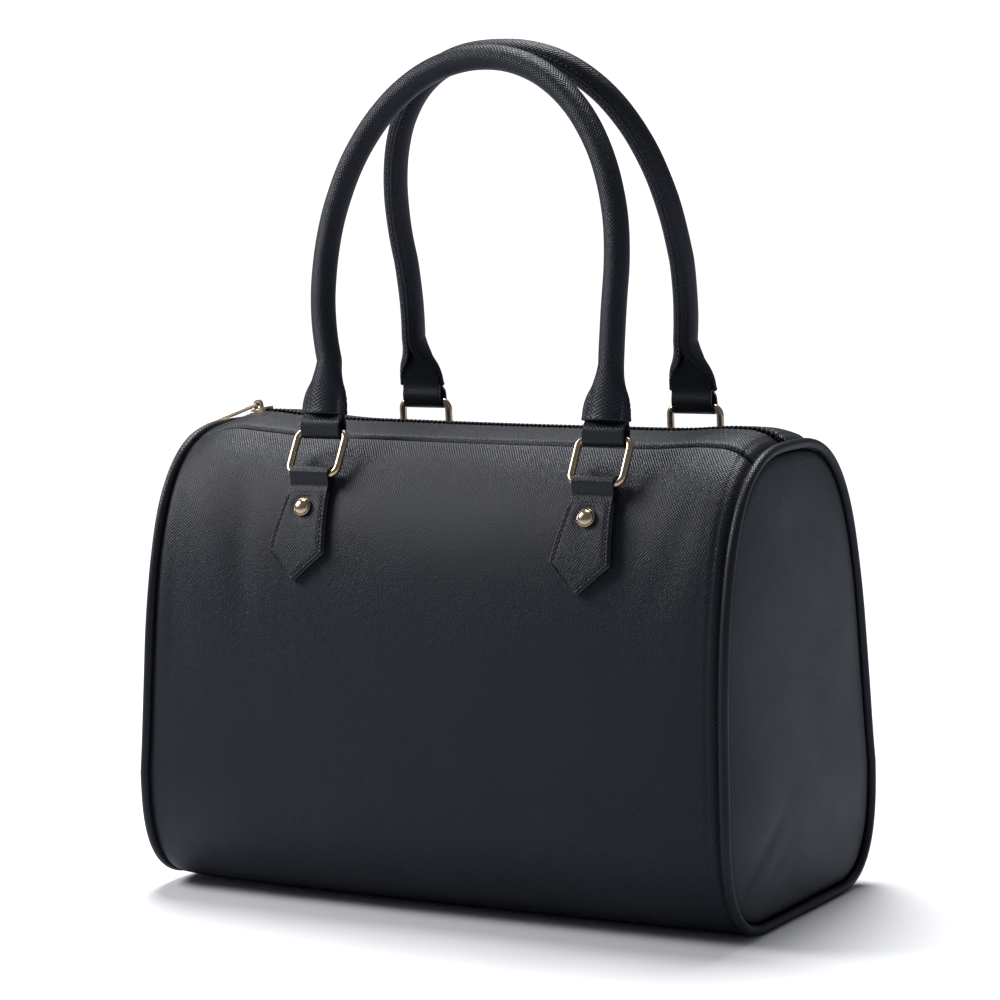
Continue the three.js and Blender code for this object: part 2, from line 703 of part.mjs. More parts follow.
// Puller: an eye round the bridge, a neck and a long flat tongue, drawn from its pivot along X
function makePuller() {
  const pin = PULLER_THICKNESS / 2;
  const armInner = BRIDGE_WIDTH / 2 + CLEARANCE;
  const armOuter = armInner + PULLER_ARM;
  const eyeEnd = bridgeOuter + PULLER_EYE_ROOM;
  const shoulder = eyeEnd + PULLER_ARM;
  const neck = PULLER_NECK / 2;
  const half = PULLER_WIDTH / 2;
  const plan = new THREE.Shape();
  plan.moveTo(-pin, -armOuter);
  plan.lineTo(eyeEnd, -armOuter);
  plan.lineTo(shoulder + PULLER_ARM, -neck);
  plan.lineTo(PULLER_LENGTH - PULLER_WIDTH, -half);
  plan.absarc(PULLER_LENGTH - half, 0, half, -QUARTER, QUARTER, false);
  plan.lineTo(PULLER_LENGTH - PULLER_WIDTH, half);
  plan.lineTo(shoulder + PULLER_ARM, neck);
  plan.lineTo(eyeEnd, armOuter);
  plan.lineTo(-pin, armOuter);
  const eye = new THREE.Path();
  eye.moveTo(pin, -armInner);
  eye.lineTo(pin, armInner);
  eye.lineTo(eyeEnd, armInner);
  eye.lineTo(eyeEnd, -armInner);
  plan.holes.push(eye);
  const options = {
    depth: PULLER_THICKNESS, bevelEnabled: false, curveSegments: PULLER_TIP_STEPS,
  };
  return new THREE.ExtrudeGeometry(plan, options).translate(0, 0, -PULLER_THICKNESS / 2);
}

const hinge = new THREE.Vector3(-BRIDGE_SETBACK, 0, hingeRise);
hinge.applyAxisAngle(new THREE.Vector3(0, 1, 0), -sliderTilt);
hinge.add(new THREE.Vector3(sliderX, 0, sliderSeat));
const pullerTurn = 2 * QUARTER - THREE.MathUtils.degToRad(PULLER_REST_DEG);
const puller = makePuller().rotateY(pullerTurn).translate(hinge.x, hinge.y, hinge.z);
addPiece('zip_puller', puller, metal());

// Points taken to one side of the bag and put in turning order, anticlockwise or clockwise
function turned(points, side, clockwise) {
  const placed = points.map((p) => new THREE.Vector2(side * p.x, p.y));
  return THREE.ShapeUtils.isClockWise(placed) === clockwise ? placed : placed.reverse();
}

// Shape drawn in depth and height on one side of the bag, cut to a width along the bag
function alongBagPrism(points, hole, side, x, width) {
  const shape = new THREE.Shape(turned(points, side, false));
  shape.holes.push(new THREE.Path(turned(hole, side, true)));
  const geometry = new THREE.ExtrudeGeometry(shape, { depth: width, bevelEnabled: false });
  const toBag = new THREE.Matrix4().makeBasis(
    new THREE.Vector3(0, 1, 0),
    new THREE.Vector3(0, 0, 1),
    new THREE.Vector3(1, 0, 0),
  );
  return geometry.applyMatrix4(toBag).translate(x - width / 2, 0, 0);
}

// Points of circles of one radius about several centres
function circlePoints(centres, radius) {
  return centres.flatMap((centre) => {
    const points = [];
    for (let i = 0; i < LOOP_SIDES; i += 1) {
      const angle = (i / LOOP_SIDES) * 4 * QUARTER;
      const reach = new THREE.Vector2(Math.cos(angle), Math.sin(angle)).multiplyScalar(radius);
      points.push(reach.add(centre));
    }
    return points;
  });
}

// Outline of a strap pulled tight round a set of points
function tightRound(points) {
  const sorted = [...points].sort((a, b) => a.x - b.x || a.y - b.y);
  const chain = (list) => {
    const kept = [];
    list.forEach((point) => {
      while (kept.length > 1) {
        const [a, b] = kept.slice(-2);
        const turn = (b.x - a.x) * (point.y - a.y) - (b.y - a.y) * (point.x - a.x);
        if (turn > SAME_PLACE) break;
        kept.pop();
      }
      kept.push(point);
    });
    return kept.slice(0, -1);
  };
  return [...chain(sorted), ...chain(sorted.reverse())];
}

// Lower tab: the loop round the ring's bar and the pointed plate, both laid on the panel
function makeTab(handle, x) {
  const section = shellSection(x);
  const seat = whereHeight(section, handle.seat);
  const barOffset = CLEARANCE + LOOP_RADIUS;
  const onPanel = (down, offset) => {
    const place = onSection(section, BACK, 0, seat - down, offset);
    return new THREE.Vector2(place.y, place.z);
  };
  const crease = TAB_ROWS[0].down * TAB_LENGTH;
  const tail = crease + STRAP_THICKNESS;
  const insideTab = CLEARANCE + STRAP_LAYER / 4;
  const outsideTab = CLEARANCE + TAB_THICKNESS - STRAP_LAYER / 4;
  const lie = outwardAt(section, seat);
  const lean = THREE.MathUtils.degToRad(handle.ringLean);
  const drop = new THREE.Vector2(-Math.sin(lean), Math.cos(lean)).multiplyScalar(CORNER_DROP);
  const raised = new THREE.Vector2(drop.cross(lie), barOffset + drop.dot(lie));
  const centres = [new THREE.Vector2(0, barOffset), raised];
  const outline = tightRound([
    ...circlePoints(centres, LOOP_RADIUS),
    new THREE.Vector2(tail, insideTab),
    new THREE.Vector2(crease, outsideTab),
    new THREE.Vector2(tail, outsideTab),
  ]);
  const hole = tightRound([
    ...circlePoints(centres, LOOP_HOLE),
    new THREE.Vector2(crease * TAB_HOLE.down, barOffset + LOOP_HOLE * TAB_HOLE.outer),
    new THREE.Vector2(crease * TAB_HOLE.tip, (insideTab + outsideTab) / 2),
    new THREE.Vector2(crease * TAB_HOLE.down, barOffset + LOOP_HOLE * TAB_HOLE.inner),
  ]);
  const toPanel = (points) => points.map((p) => onPanel(p.x, p.y));
  const loop = alongBagPrism(toPanel(outline), toPanel(hole), handle.side, x, STRAP_WIDTH);
  const outer = [];
  const inner = [];
  TAB_ROWS.forEach(({ down, wide }) => {
    const middle = x + handle.hang * down;
    const row = TAB_ACROSS.map((share) => middle + (share * wide * TAB_WIDTH) / 2);
    const lay = (offset) => row.map((place) => {
      const here = shellSection(place);
      const start = whereHeight(here, handle.seat);
      return onSection(here, handle.side, place, start - down * TAB_LENGTH, offset);
    });
    outer.push(lay(CLEARANCE + TAB_THICKNESS));
    inner.push(lay(CLEARANCE));
  });
  const plate = wallFromGrid(outer, inner);
  const bar = onSection(section, handle.side, x, seat, barOffset);
  return { geometry: toGeometry(toSolid(plate).add(toSolid(loop))), bar };
}

function makeRivet(handle, x) {
  const section = shellSection(x);
  const place = whereHeight(section, handle.seat) - RIVET_DOWN;
  const profile = RIVET_ROWS.map((row) => (
    new THREE.Vector2((row.out * RIVET_DIAMETER) / 2, row.up * RIVET_DOME)));
  const dome = new THREE.LatheGeometry(profile, RIVET_SIDES);
  const out = outwardAt(section, place);
  const outward = new THREE.Vector3(0, handle.side * out.x, out.y);
  const turn = new THREE.Quaternion();
  turn.setFromUnitVectors(new THREE.Vector3(0, 1, 0), outward);
  const offset = 2 * CLEARANCE + TAB_THICKNESS;
  const middle = x + (handle.hang * RIVET_DOWN) / TAB_LENGTH;
  const foot = onSection(section, handle.side, middle, place, offset);
  return toGeometry(toSolid(dome.applyQuaternion(turn).translate(foot.x, foot.y, foot.z)));
}

// Ring: a rounded rectangle of wire standing on its lower bar and leaning to the middle
function makeRing(handle, bar) {
  const lean = THREE.MathUtils.degToRad(handle.ringLean);
  const up = new THREE.Vector3(0, -handle.side * Math.sin(lean), Math.cos(lean));
  const out = new THREE.Vector3(0, handle.side * Math.cos(lean), Math.sin(lean));
  const halfWide = (RING_INNER_WIDTH + RING_WIRE) / 2 - RING_CORNER;
  const tall = RING_INNER_HEIGHT + RING_WIRE;
  const corners = [
    [halfWide, RING_CORNER, -1],
    [halfWide, tall - RING_CORNER, 0],
    [-halfWide, tall - RING_CORNER, 1],
    [-halfWide, RING_CORNER, 2],
  ];
  const loops = [];
  corners.forEach(([across, rise, from]) => {
    for (let i = 0; i <= RING_CORNER_STEPS; i += 1) {
      const angle = (from + i / RING_CORNER_STEPS) * QUARTER;
      const away = new THREE.Vector3(Math.cos(angle), 0, 0).addScaledVector(up, Math.sin(angle));
      const middle = bar.clone().addScaledVector(up, rise).addScaledVector(away, RING_CORNER);
      middle.x += across;
      const loop = [];
      for (let k = 0; k < RING_SIDES; k += 1) {
        const spin = (k / RING_SIDES) * 4 * QUARTER;
        const point = middle.clone().addScaledVector(away, (Math.cos(spin) * RING_WIRE) / 2);
        loop.push(point.addScaledVector(out, (Math.sin(spin) * RING_WIRE) / 2));
      }
      loops.push(loop);
    }
  });
  const topBar = bar.clone().addScaledVector(up, tall);
  return { geometry: loftLoops(loops, true), topBar, up };
}

// Directions of a handle's plane: up along it and outwards from it
function handleAxes(handle) {
  const lean = THREE.MathUtils.degToRad(handle.lean);
  return {
    up: new THREE.Vector3(0, -handle.side * Math.sin(lean), Math.cos(lean)),
    out: new THREE.Vector3(0, handle.side * Math.cos(lean), Math.sin(lean)),
  };
}

// Leaf of the strap as loops of four points, grown by some room all round, and opened by more
// of it towards the inner side and below
function leafLoops(handle, bar, room, opening) {
  const { up, out } = handleAxes(handle);
  return LEAF_ROWS.map((row, i) => {
    const last = i === LEAF_ROWS.length - 1;
    const first = i === 0;
    const rise = row.up * LEAF_LENGTH + (last ? room : 0) - (first ? opening : 0);
    const half = (row.wide * STRAP_WIDTH) / 2 + room;
    const thick = STRAP_THICKNESS / 2 + room;
    return [[-half, thick], [half, thick], [half, -thick - opening], [-half, -thick - opening]]
      .map(([across, depth]) => {
        const point = bar.clone().addScaledVector(up, rise).addScaledVector(out, depth);
        point.x += across;
        return point;
      });
  });
}

// Upper strap: its loop round the ring's top bar, and the leaf that goes into the hood
function makeStrap(handle, bar, ringUp) {
  const { up, out } = handleAxes(handle);
  const drop = ringUp.clone().multiplyScalar(-CORNER_DROP);
  const centres = [new THREE.Vector2(0, 0), new THREE.Vector2(drop.dot(out), drop.dot(up))];
  const half = STRAP_THICKNESS / 2;
  const neck = LEAF_ROWS[0].up * LEAF_LENGTH;
  const rise = STRAP_BULGE.up * STRAP_FREE;
  const front = STRAP_BULGE.front * LOOP_RADIUS;
  const back = STRAP_BULGE.back * LOOP_RADIUS;
  const outline = tightRound([
    ...circlePoints(centres, LOOP_RADIUS),
    new THREE.Vector2(front, rise),
    new THREE.Vector2(back, rise),
    new THREE.Vector2(half, neck),
    new THREE.Vector2(half - STRAP_LAYER / 4, neck + half),
    new THREE.Vector2(-half + STRAP_LAYER / 4, neck + half),
    new THREE.Vector2(-half, neck),
  ]);
  const hole = tightRound([
    ...circlePoints(centres, LOOP_HOLE),
    new THREE.Vector2(front - STRAP_LAYER, rise),
    new THREE.Vector2(back + STRAP_LAYER, rise),
    new THREE.Vector2(0, STRAP_HOLE_TOP * STRAP_FREE),
  ]);
  const place = (points) => points.map((p) => {
    const spot = bar.clone().addScaledVector(out, p.x).addScaledVector(up, p.y);
    return new THREE.Vector2(spot.y * handle.side, spot.z);
  });
  const loop = alongBagPrism(place(outline), place(hole), handle.side, bar.x, STRAP_WIDTH);
  const leaf = loftLoops(leafLoops(handle, bar, 0, 0), false);
  return toGeometry(toSolid(loop).add(toSolid(leaf)));
}

// Middle line of a handle: half of it, as places across and up its plane from the bar, with
// how far it stands sideways there
function handlePath(handle) {
  const path = [];
  HOOD_SECTIONS.forEach((row) => {
    const rise = STRAP_FREE + row.up * HOOD_LENGTH;
    path.push({ across: HANDLE_SPACING / 2, rise, row, sideways: 0 });
  });
  const hoodTop = STRAP_FREE + HOOD_LENGTH;
  const round = HOOD_SECTIONS.at(-1);
  for (let i = 1; i < LEG_STEPS; i += 1) {
    const t = i / LEG_STEPS;
    const swung = t * (2 - t);
    const across = THREE.MathUtils.lerp(HANDLE_SPACING / 2, handle.halfSpread, swung);
    const rise = THREE.MathUtils.lerp(hoodTop, HANDLE_LEG, t);
    path.push({ across, rise, row: round, sideways: handle.sway * swung });
  }
  for (let i = 0; i <= ARCH_STEPS / 2; i += 1) {
    const angle = (i / (ARCH_STEPS / 2)) * QUARTER;
    const across = handle.halfSpread * Math.max(0, Math.cos(angle)) ** (2 / handle.curve);
    const climb = Math.sin(angle) ** (2 / handle.curve);
    const rise = HANDLE_LEG + (HANDLE_RISE - HANDLE_LEG) * climb;
    const sideways = THREE.MathUtils.lerp(handle.sway, handle.crownSway, climb);
    path.push({ across, rise, row: round, sideways });
  }
  return path;
}

function makeHandle(handle, bars) {
  const { up, out } = handleAxes(handle);
  const half = handlePath(handle);
  const mirrored = [...half].reverse().slice(1).map((place) => ({ ...place, across: -place.across }));
  const path = [...half, ...mirrored].map((place) => (
    { ...place, across: place.across + place.sideways }));
  const centre = bars[0].clone().lerp(bars[1], 0.5);
  const flatPath = path.map((place) => new THREE.Vector2(place.across, place.rise));
  const loops = path.map((place, i) => {
    const before = flatPath[Math.max(0, i - 1)];
    const after = flatPath[Math.min(path.length - 1, i + 1)];
    const run = after.clone().sub(before).normalize();
    if (place.row.flat === 1) run.set(0, Math.sign(run.y));
    const wide = new THREE.Vector3(run.y, 0, 0).addScaledVector(up, -run.x);
    const width = THREE.MathUtils.lerp(HANDLE_DIAMETER, HOOD_WIDTH, place.row.flat) / 2;
    const depth = THREE.MathUtils.lerp(HANDLE_DIAMETER, HOOD_DEPTH, place.row.flat) / 2;
    const middle = centre.clone().addScaledVector(up, place.rise);
    middle.x += place.across;
    middle.addScaledVector(out, place.row.shift * HOOD_SHIFT);
    const loop = [];
    for (let k = 0; k < HANDLE_SIDES; k += 1) {
      const spin = ((k + 0.5) / HANDLE_SIDES) * 4 * QUARTER;
      const point = middle.clone().addScaledVector(wide, Math.cos(spin) * width);
      loop.push(point.addScaledVector(out, Math.sin(spin) * depth));
    }
    return loop;
  });
  let solid = toSolid(loftLoops(loops, false));
  bars.forEach((bar) => {
    const room = loftLoops(leafLoops(handle, bar, CLEARANCE, HANDLE_DIAMETER), false);
    solid = solid.subtract(toSolid(room));
  });
  return toGeometry(solid);
}

Object.entries(HANDLES).forEach(([name, handle]) => {
  const letter = name[0];
  const bars = [['l', -1], ['r', 1]].map(([place, hand]) => {
    const x = handle.shift + (hand * HANDLE_SPACING) / 2;
    const tab = makeTab(handle, x);
    const ring = makeRing(handle, tab.bar);
    addPiece(`tab_${letter}${place}`, tab.geometry, leather(LEATHER_BLACK));
    addPiece(`rivet_${letter}${place}`, makeRivet(handle, x), metal());
    addPiece(`ring_${letter}${place}`, ring.geometry, metal());
    addPiece(`strap_${letter}${place}`, makeStrap(handle, ring.topBar, ring.up), leather(LEATHER_DEEP));
    return ring.topBar;
  });
  addPiece(`handle_${name}`, makeHandle(handle, bars), leather(LEATHER_BLACK));
});

export default bag;
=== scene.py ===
import math
from functools import lru_cache

import bpy
import numpy as np
from bpy.props import FloatProperty, FloatVectorProperty, PointerProperty
from mathutils import Matrix, Vector, noise


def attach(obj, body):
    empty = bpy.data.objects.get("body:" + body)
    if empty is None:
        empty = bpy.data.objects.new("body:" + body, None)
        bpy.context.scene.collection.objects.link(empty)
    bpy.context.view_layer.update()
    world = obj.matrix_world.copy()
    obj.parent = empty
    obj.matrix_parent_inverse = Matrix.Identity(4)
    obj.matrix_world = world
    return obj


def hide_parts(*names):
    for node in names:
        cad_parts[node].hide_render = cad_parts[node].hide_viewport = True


bl_info = {
    "name": "Boston Bag",
    "version": (1, 0, 0),
    "blender": (4, 5, 0),
    "location": "View3D > Sidebar > Bag",
    "description": "Builds a black leather boston bag with rolled handles on its solids",
    "category": "Add Mesh",
}

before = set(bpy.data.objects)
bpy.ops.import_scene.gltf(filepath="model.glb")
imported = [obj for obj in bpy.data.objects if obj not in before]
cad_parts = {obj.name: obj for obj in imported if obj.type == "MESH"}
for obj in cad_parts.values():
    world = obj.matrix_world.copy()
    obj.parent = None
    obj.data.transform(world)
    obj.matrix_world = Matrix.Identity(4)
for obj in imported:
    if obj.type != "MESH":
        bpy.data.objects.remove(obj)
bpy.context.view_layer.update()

# Shapes are worked out in millimetres, as in the bag's source, and placed in metres.
# X runs along the bag, Y from its front to its back, Z up.
MM = 0.001

# Body
BAG_LENGTH = 340
BAG_DEPTH = 181
BAG_HEIGHT = 240
LEFT_END_RISE = 3.5
FULLEST_HEIGHT = 63
SHOULDER_TAPER = 4.7
END_LEAN = 2.6
LEFT_BASE_LIFT = 2.5
BASE_LIFT_START = 40
BASE_FLAT = 80
TOP_RISE = 12
TOP_DROP = 2
PANEL_BOW = 2.2
LEATHER = 2
BODY_MIDDLE = (0, 0, 120)
PIPING_DIAMETER = 6.2
PIPING_SHOWN = 5.2  # the cord's own roundness; the rest of the piping is its sunken edges
GUSSET_DOME = 4
GUSSET_RECESS = 0.5
TOP_SEAM_FROM_MIDDLE = 37
BASE_SEAM_FROM_MIDDLE = 67
SEAM_GAP = 0.4
CLEARANCE = 0.35
UPPER_CURVE = 2.95
LOWER_CURVE = 2.75
DOME_CURVE = 4
SHELL_HALF = BAG_LENGTH / 2 - PIPING_DIAMETER / 2 - CLEARANCE
SHEET_HALF = SHELL_HALF + 2  # the leather itself tucks in against the pipings

# Zip
ZIP_OPENING = 9
TAPE_WIDTH = 23
TAPE_THICKNESS = 1
TEETH_PITCH = 2.5
TEETH_PROUD = 0.7
TOOTH = (1.15, 3.6, 2.7)  # along the zip, across it and tall
TOOTH_ASIDE = 1  # how far each tooth stands to its side of the zip

# Fixings of the handles
HANDLE_SPACING = 165
RING_INNER_WIDTH = 25
RING_INNER_HEIGHT = 20
RING_WIRE = 4
RING_CORNER = 4.6
STRAP_WIDTH = 23
STRAP_LAYER = 1.4
STRAP_THICKNESS = 3
STRAP_FREE = 9
LEAF_LENGTH = 28
TAB_LENGTH = 55
TAB_WIDTH = 33
TAB_THICKNESS = 3
TAB_UPPER = 1.6  # thickness of its upper layer
TAB_LOWER_GROWS = 0.25  # how far its lower layer shows round the upper
RIVET_DIAMETER = 8.8
RIVET_DOME = 3.1
RIVET_DOWN = 17.6
RIVET_RIM = 0.45  # radius of the rolled rim round its foot
LOOP_HOLE = (RING_WIRE / 2 + CLEARANCE) / math.cos(math.pi / 10)

# Handles
HANDLE_DIAMETER = 13
HANDLE_RISE = 194.8
HANDLE_LEG = 82
HOOD_LENGTH = 28
HOOD_WIDTH = 26.6
HOOD_DEPTH = 8.8
HOOD_SHIFT = 1.2
HOOD_RIDGE = 16.5  # width of the rounded middle of the hood
HOOD_WING = 1.9  # rise of its flat sides

FRONT, BACK = -1, 1
HANDLES = {
    "front": {"side": FRONT, "shift": 8.2, "seat": BAG_HEIGHT - 20, "ring_lean": 30,
              "lean": 12.2, "half_spread": HANDLE_SPACING / 2 + 3.3, "sway": -4.4,
              "crown_sway": -5.8, "hang": -2.6, "curve": 2.05},
    "back": {"side": BACK, "shift": 2, "seat": BAG_HEIGHT - 17, "ring_lean": 2,
             "lean": 16.2, "half_spread": HANDLE_SPACING / 2 + 0.4, "sway": 4.4,
             "crown_sway": -0.4, "hang": 0, "curve": 2.3},
}

# Cross-sections along the shell: place, climb of the top line and bow of the panels, as shares
SECTION_PLACES = (-1, -0.965, -0.92, -0.86, -0.73, -0.6, -0.3, 0, 0.35, 0.68, 0.86, 0.93, 0.97, 1)
SECTION_CLIMBS = (0, 0.21, 0.445, 0.6, 0.52, 0.4, 0.36, 0.355, 0.39, 0.45, 0.6, 0.53, 0.33, 0)
SECTION_BOWS = (-1, -0.3, 0.1, 0.35, 0.6, 0.75, 0.95, 1, 0.95, 0.65, 0.35, 0.05, -0.35, -1)

# Lower tab: place down its length and width there, as shares
TAB_DOWN = (0.15, 0.73, 1)
TAB_WIDE = (0.72, 1, 0.04)

# Strap's leaf inside the hood: place up its length and width there, as shares
LEAF_UP = (0, 0.55, 0.68, 0.84, 1)
LEAF_WIDE = (1, 1, 0.78, 0.4, 0.14)

# Handle's hood from its edge up: place, and shares of its flatness and shift
HOOD_UP = (0, 0.2, 0.42, 0.62, 0.8, 1)
HOOD_FLAT = (1, 1, 0.8, 0.4, 0.14, 0)
HOOD_SHIFTS = (1, 1, 0.85, 0.5, 0.2, 0)


# A wave texture has bands one metre apart at this scale
WAVE_SCALE = 2 * math.pi / 20


def srgb(code):
    """Linear colour of an sRGB hex code."""
    parts = [int(code[i:i + 2], 16) / 255 for i in (1, 3, 5)]
    return tuple(c / 12.92 if c <= 0.04045 else ((c + 0.055) / 1.055) ** 2.4 for c in parts)


# --- sizes and colours that a user would change


class BagShape(bpy.types.PropertyGroup):
    seam_depth: FloatProperty(
        name="Seam depth", description="How far the leather rolls in at its seams",
        default=0.0016, unit="LENGTH")
    seam_width: FloatProperty(
        name="Seam roll", description="Width over which the leather rolls into a seam",
        default=0.0032, unit="LENGTH")
    slack: FloatProperty(
        name="Slack", description="Depth of the soft hollows in the panels",
        default=0.0011, unit="LENGTH")
    stitch: FloatProperty(
        name="Stitch", description="Length from one stitch to the next",
        default=0.0031, unit="LENGTH")
    thread: FloatProperty(
        name="Thread", description="Thickness of the sewing thread",
        default=0.0007, unit="LENGTH")


class BagLeather(bpy.types.PropertyGroup):
    body: FloatVectorProperty(
        name="Body", description="Leather of the panels, tabs and handles",
        subtype="COLOR", default=srgb("#16181d"))
    trim: FloatVectorProperty(
        name="Trim", description="Leather of the pipings and straps",
        subtype="COLOR", default=srgb("#131519"))
    # Edge paint is lighter than the body: partly the paint's own colour, partly a painted highlight
    # on the tabs' edges
    edge: FloatVectorProperty(
        name="Edge paint", description="Painted edges of the tabs",
        subtype="COLOR", default=srgb("#303238"))
    thread: FloatVectorProperty(
        name="Thread", description="Sewing thread",
        subtype="COLOR", default=srgb("#08080a"))
    grain: FloatProperty(
        name="Grain", description="Spacing of the pressed crosshatch",
        default=0.0012, unit="LENGTH")


class BagFittings(bpy.types.PropertyGroup):
    gold: FloatVectorProperty(
        name="Gold", description="Plated metal of the rings, rivets and slider",
        subtype="COLOR", default=srgb("#dcc4a6"))
    teeth: FloatVectorProperty(
        name="Teeth", description="Moulded teeth of the zip",
        subtype="COLOR", default=srgb("#17171a"))
    tape: FloatVectorProperty(
        name="Tape", description="Woven tape of the zip",
        subtype="COLOR", default=srgb("#131316"))


class BagStage(bpy.types.PropertyGroup):
    floor: FloatVectorProperty(
        name="Floor", description="Pale studio floor",
        subtype="COLOR", default=srgb("#fbfbfd"))
    key: FloatProperty(
        name="Key light", description="Power of the large light at the upper left, in watts",
        default=13)
    top: FloatProperty(
        name="Overhead light", description="Strength of the broad light overhead", default=3.6)
    fill: FloatProperty(
        name="Fill light", description="Power of the weak light at the right, in watts",
        default=0.4)
    room: FloatProperty(
        name="Room", description="Brightness of the room round the stage", default=0.14)
    lens: FloatProperty(
        name="Lens", description="Focal length in millimetres on a 36 mm frame", default=122.3)


# --- the bag's own measures


def smooth_table(places, values):
    """A smooth line through values at places, as two arrays for interpolation."""
    p, v = np.array(places, float), np.array(values, float)
    slope = np.gradient(v, p)
    at = np.linspace(p[0], p[-1], 600)
    i = np.clip(np.searchsorted(p, at) - 1, 0, len(p) - 2)
    h = p[i + 1] - p[i]
    t = (at - p[i]) / h
    line = ((2 * t**3 - 3 * t**2 + 1) * v[i] + (t**3 - 2 * t**2 + t) * h * slope[i]
            + (3 * t**2 - 2 * t**3) * v[i + 1] + (t**3 - t**2) * h * slope[i + 1])
    return at, line


CLIMB = smooth_table(SECTION_PLACES, SECTION_CLIMBS)
BOW = smooth_table(SECTION_PLACES, SECTION_BOWS)
HOOD_FLATNESS = smooth_table(HOOD_UP, HOOD_FLAT)
HOOD_MOVE = smooth_table(HOOD_UP, HOOD_SHIFTS)


def base_lift(x):
    """How far the curl of the base lifts it at a place along the bag."""
    t = max(0, (-x - BASE_LIFT_START) / (BAG_LENGTH / 2 - BASE_LIFT_START))
    return LEFT_BASE_LIFT * t * t


def drawn_in(share):
    """Share of the full taper and lean reached at a share of the way up."""
    return 1 - (1 - np.clip(share, 0, 1)) ** 3


def lean_in(spot):
    """Moves a point of the shell in, as its ends lean."""
    share = (spot.z - FULLEST_HEIGHT) / (BAG_HEIGHT - FULLEST_HEIGHT)
    spot.x *= 1 - END_LEAN / (BAG_LENGTH / 2) * float(drawn_in(share))
    return spot


def ease(t):
    t = min(1.0, max(0.0, t))
    return t * t * (3 - 2 * t)


def gather(t, share=0.62):
    """Spreads places from -1 to 1 so that they lie closer together near both ends."""
    return share * math.sin(t * math.pi / 2) + (1 - share) * t


class Section:
    """Half of a cross-section, from the middle of the base out and up to the middle of the top."""

    def __init__(self, half_depth, height, floor):
        turn = np.linspace(0, math.pi / 2, 73)
        sine, cosine = np.sin(turn), np.clip(np.cos(turn), 0, 1)
        flat = BASE_FLAT / 2
        low_y = flat + (half_depth - flat) * sine ** (2 / LOWER_CURVE)
        low_z = floor + (FULLEST_HEIGHT - floor) * (1 - cosine ** (2 / LOWER_CURVE))
        climb = sine ** (2 / UPPER_CURVE)
        taper = 1 - SHOULDER_TAPER / (BAG_DEPTH / 2) * drawn_in(climb)
        up_y = half_depth * cosine ** (2 / UPPER_CURVE) * taper
        up_z = FULLEST_HEIGHT + (height - FULLEST_HEIGHT) * climb
        self.y = np.concatenate([[0], low_y, up_y[1:]])
        self.z = np.concatenate([[floor], low_z, up_z[1:]])
        steps = np.hypot(np.diff(self.y), np.diff(self.z))
        self.lengths = np.concatenate([[0], np.cumsum(steps)])
        self.total = float(self.lengths[-1])
        self.fullest = len(low_y)

    def at(self, distance):
        return (float(np.interp(distance, self.lengths, self.y)),
                float(np.interp(distance, self.lengths, self.z)))

    def outward(self, distance, reach=3):
        if distance > self.total - reach:
            return 0.0, 1.0
        a, b = self.at(max(0, distance - reach)), self.at(distance + reach)
        run = math.hypot(b[0] - a[0], b[1] - a[1])
        return (b[1] - a[1]) / run, (a[0] - b[0]) / run

    def spot(self, side, x, distance, offset=0.0):
        """Point on one side of the bag, moved outwards by an offset, in millimetres."""
        (y, z), (out_y, out_z) = self.at(distance), self.outward(distance)
        return Vector((x, side * (y + out_y * offset), z + out_z * offset))

    def direction(self, side, distance):
        out_y, out_z = self.outward(distance)
        return Vector((0, side * out_y, out_z))

    def where_height(self, height):
        return float(np.interp(height, self.z, self.lengths))

    def where_base_depth(self, depth):
        part = slice(0, self.fullest)
        return float(np.interp(depth, self.y[part], self.lengths[part]))

    def where_top_depth(self, depth):
        part = slice(self.fullest, None)
        return float(np.interp(depth, self.y[part][::-1], self.lengths[part][::-1]))


def piping_top(x):
    return BAG_HEIGHT + LEFT_END_RISE * (0.5 - x / BAG_LENGTH)


@lru_cache(maxsize=None)
def shell_section(x):
    share = max(-1, min(1, x / SHELL_HALF))
    half_depth = BAG_DEPTH / 2 + float(np.interp(share, *BOW)) * PANEL_BOW
    climb = float(np.interp(share, *CLIMB)) * TOP_RISE
    return Section(half_depth, piping_top(x) - TOP_DROP + climb, base_lift(x))


# Along the top of the bag its ends lean in all the way
TOP_LEAN = 1 - END_LEAN / (BAG_LENGTH / 2)


def top_line(x):
    return float(shell_section(round(x / TOP_LEAN, 3)).z[-1])


def end_outline(end, inset, count):
    """Outline of a bag end, once round from the base's middle: points and outward directions."""
    x = end * BAG_LENGTH / 2
    section = Section(BAG_DEPTH / 2, piping_top(x), base_lift(x))
    half = count // 2
    places = [section.total * i / half for i in range(half + 1)]
    back = [(BACK, d) for d in places]
    front = [(FRONT, d) for d in reversed(places[1:-1])]
    return [(section.spot(side, 0, d, -inset), section.direction(side, d))
            for side, d in back + front]


def curve_through(points, per_span=8):
    """A smooth run of points through a few, from the first to the last."""
    points = [Vector(p) for p in points]
    ends = [2 * points[0] - points[1], *points, 2 * points[-1] - points[-2]]
    run = []
    for i in range(1, len(ends) - 2):
        a, b, c, d = ends[i - 1:i + 3]
        for k in range(per_span):
            t = k / per_span
            run.append(0.5 * (2 * b + (c - a) * t + (2 * a - 5 * b + 4 * c - d) * t**2
                              + (3 * b - a - 3 * c + d) * t**3))
    return [*run, points[-1]]


class Run:
    """Points in a row with the length along them."""

    def __init__(self, points):
        self.points = np.array([tuple(p) for p in points], float)
        steps = np.linalg.norm(np.diff(self.points, axis=0), axis=1)
        self.lengths = np.concatenate([[0], np.cumsum(steps)])
        self.total = float(self.lengths[-1])

    def at(self, distance):
        return Vector([float(np.interp(distance, self.lengths, column))
                       for column in self.points.T])

    def along(self, distance, reach=0.6):
        a, b = self.at(max(0, distance - reach)), self.at(min(self.total, distance + reach))
        return (b - a).normalized()


# --- modelling


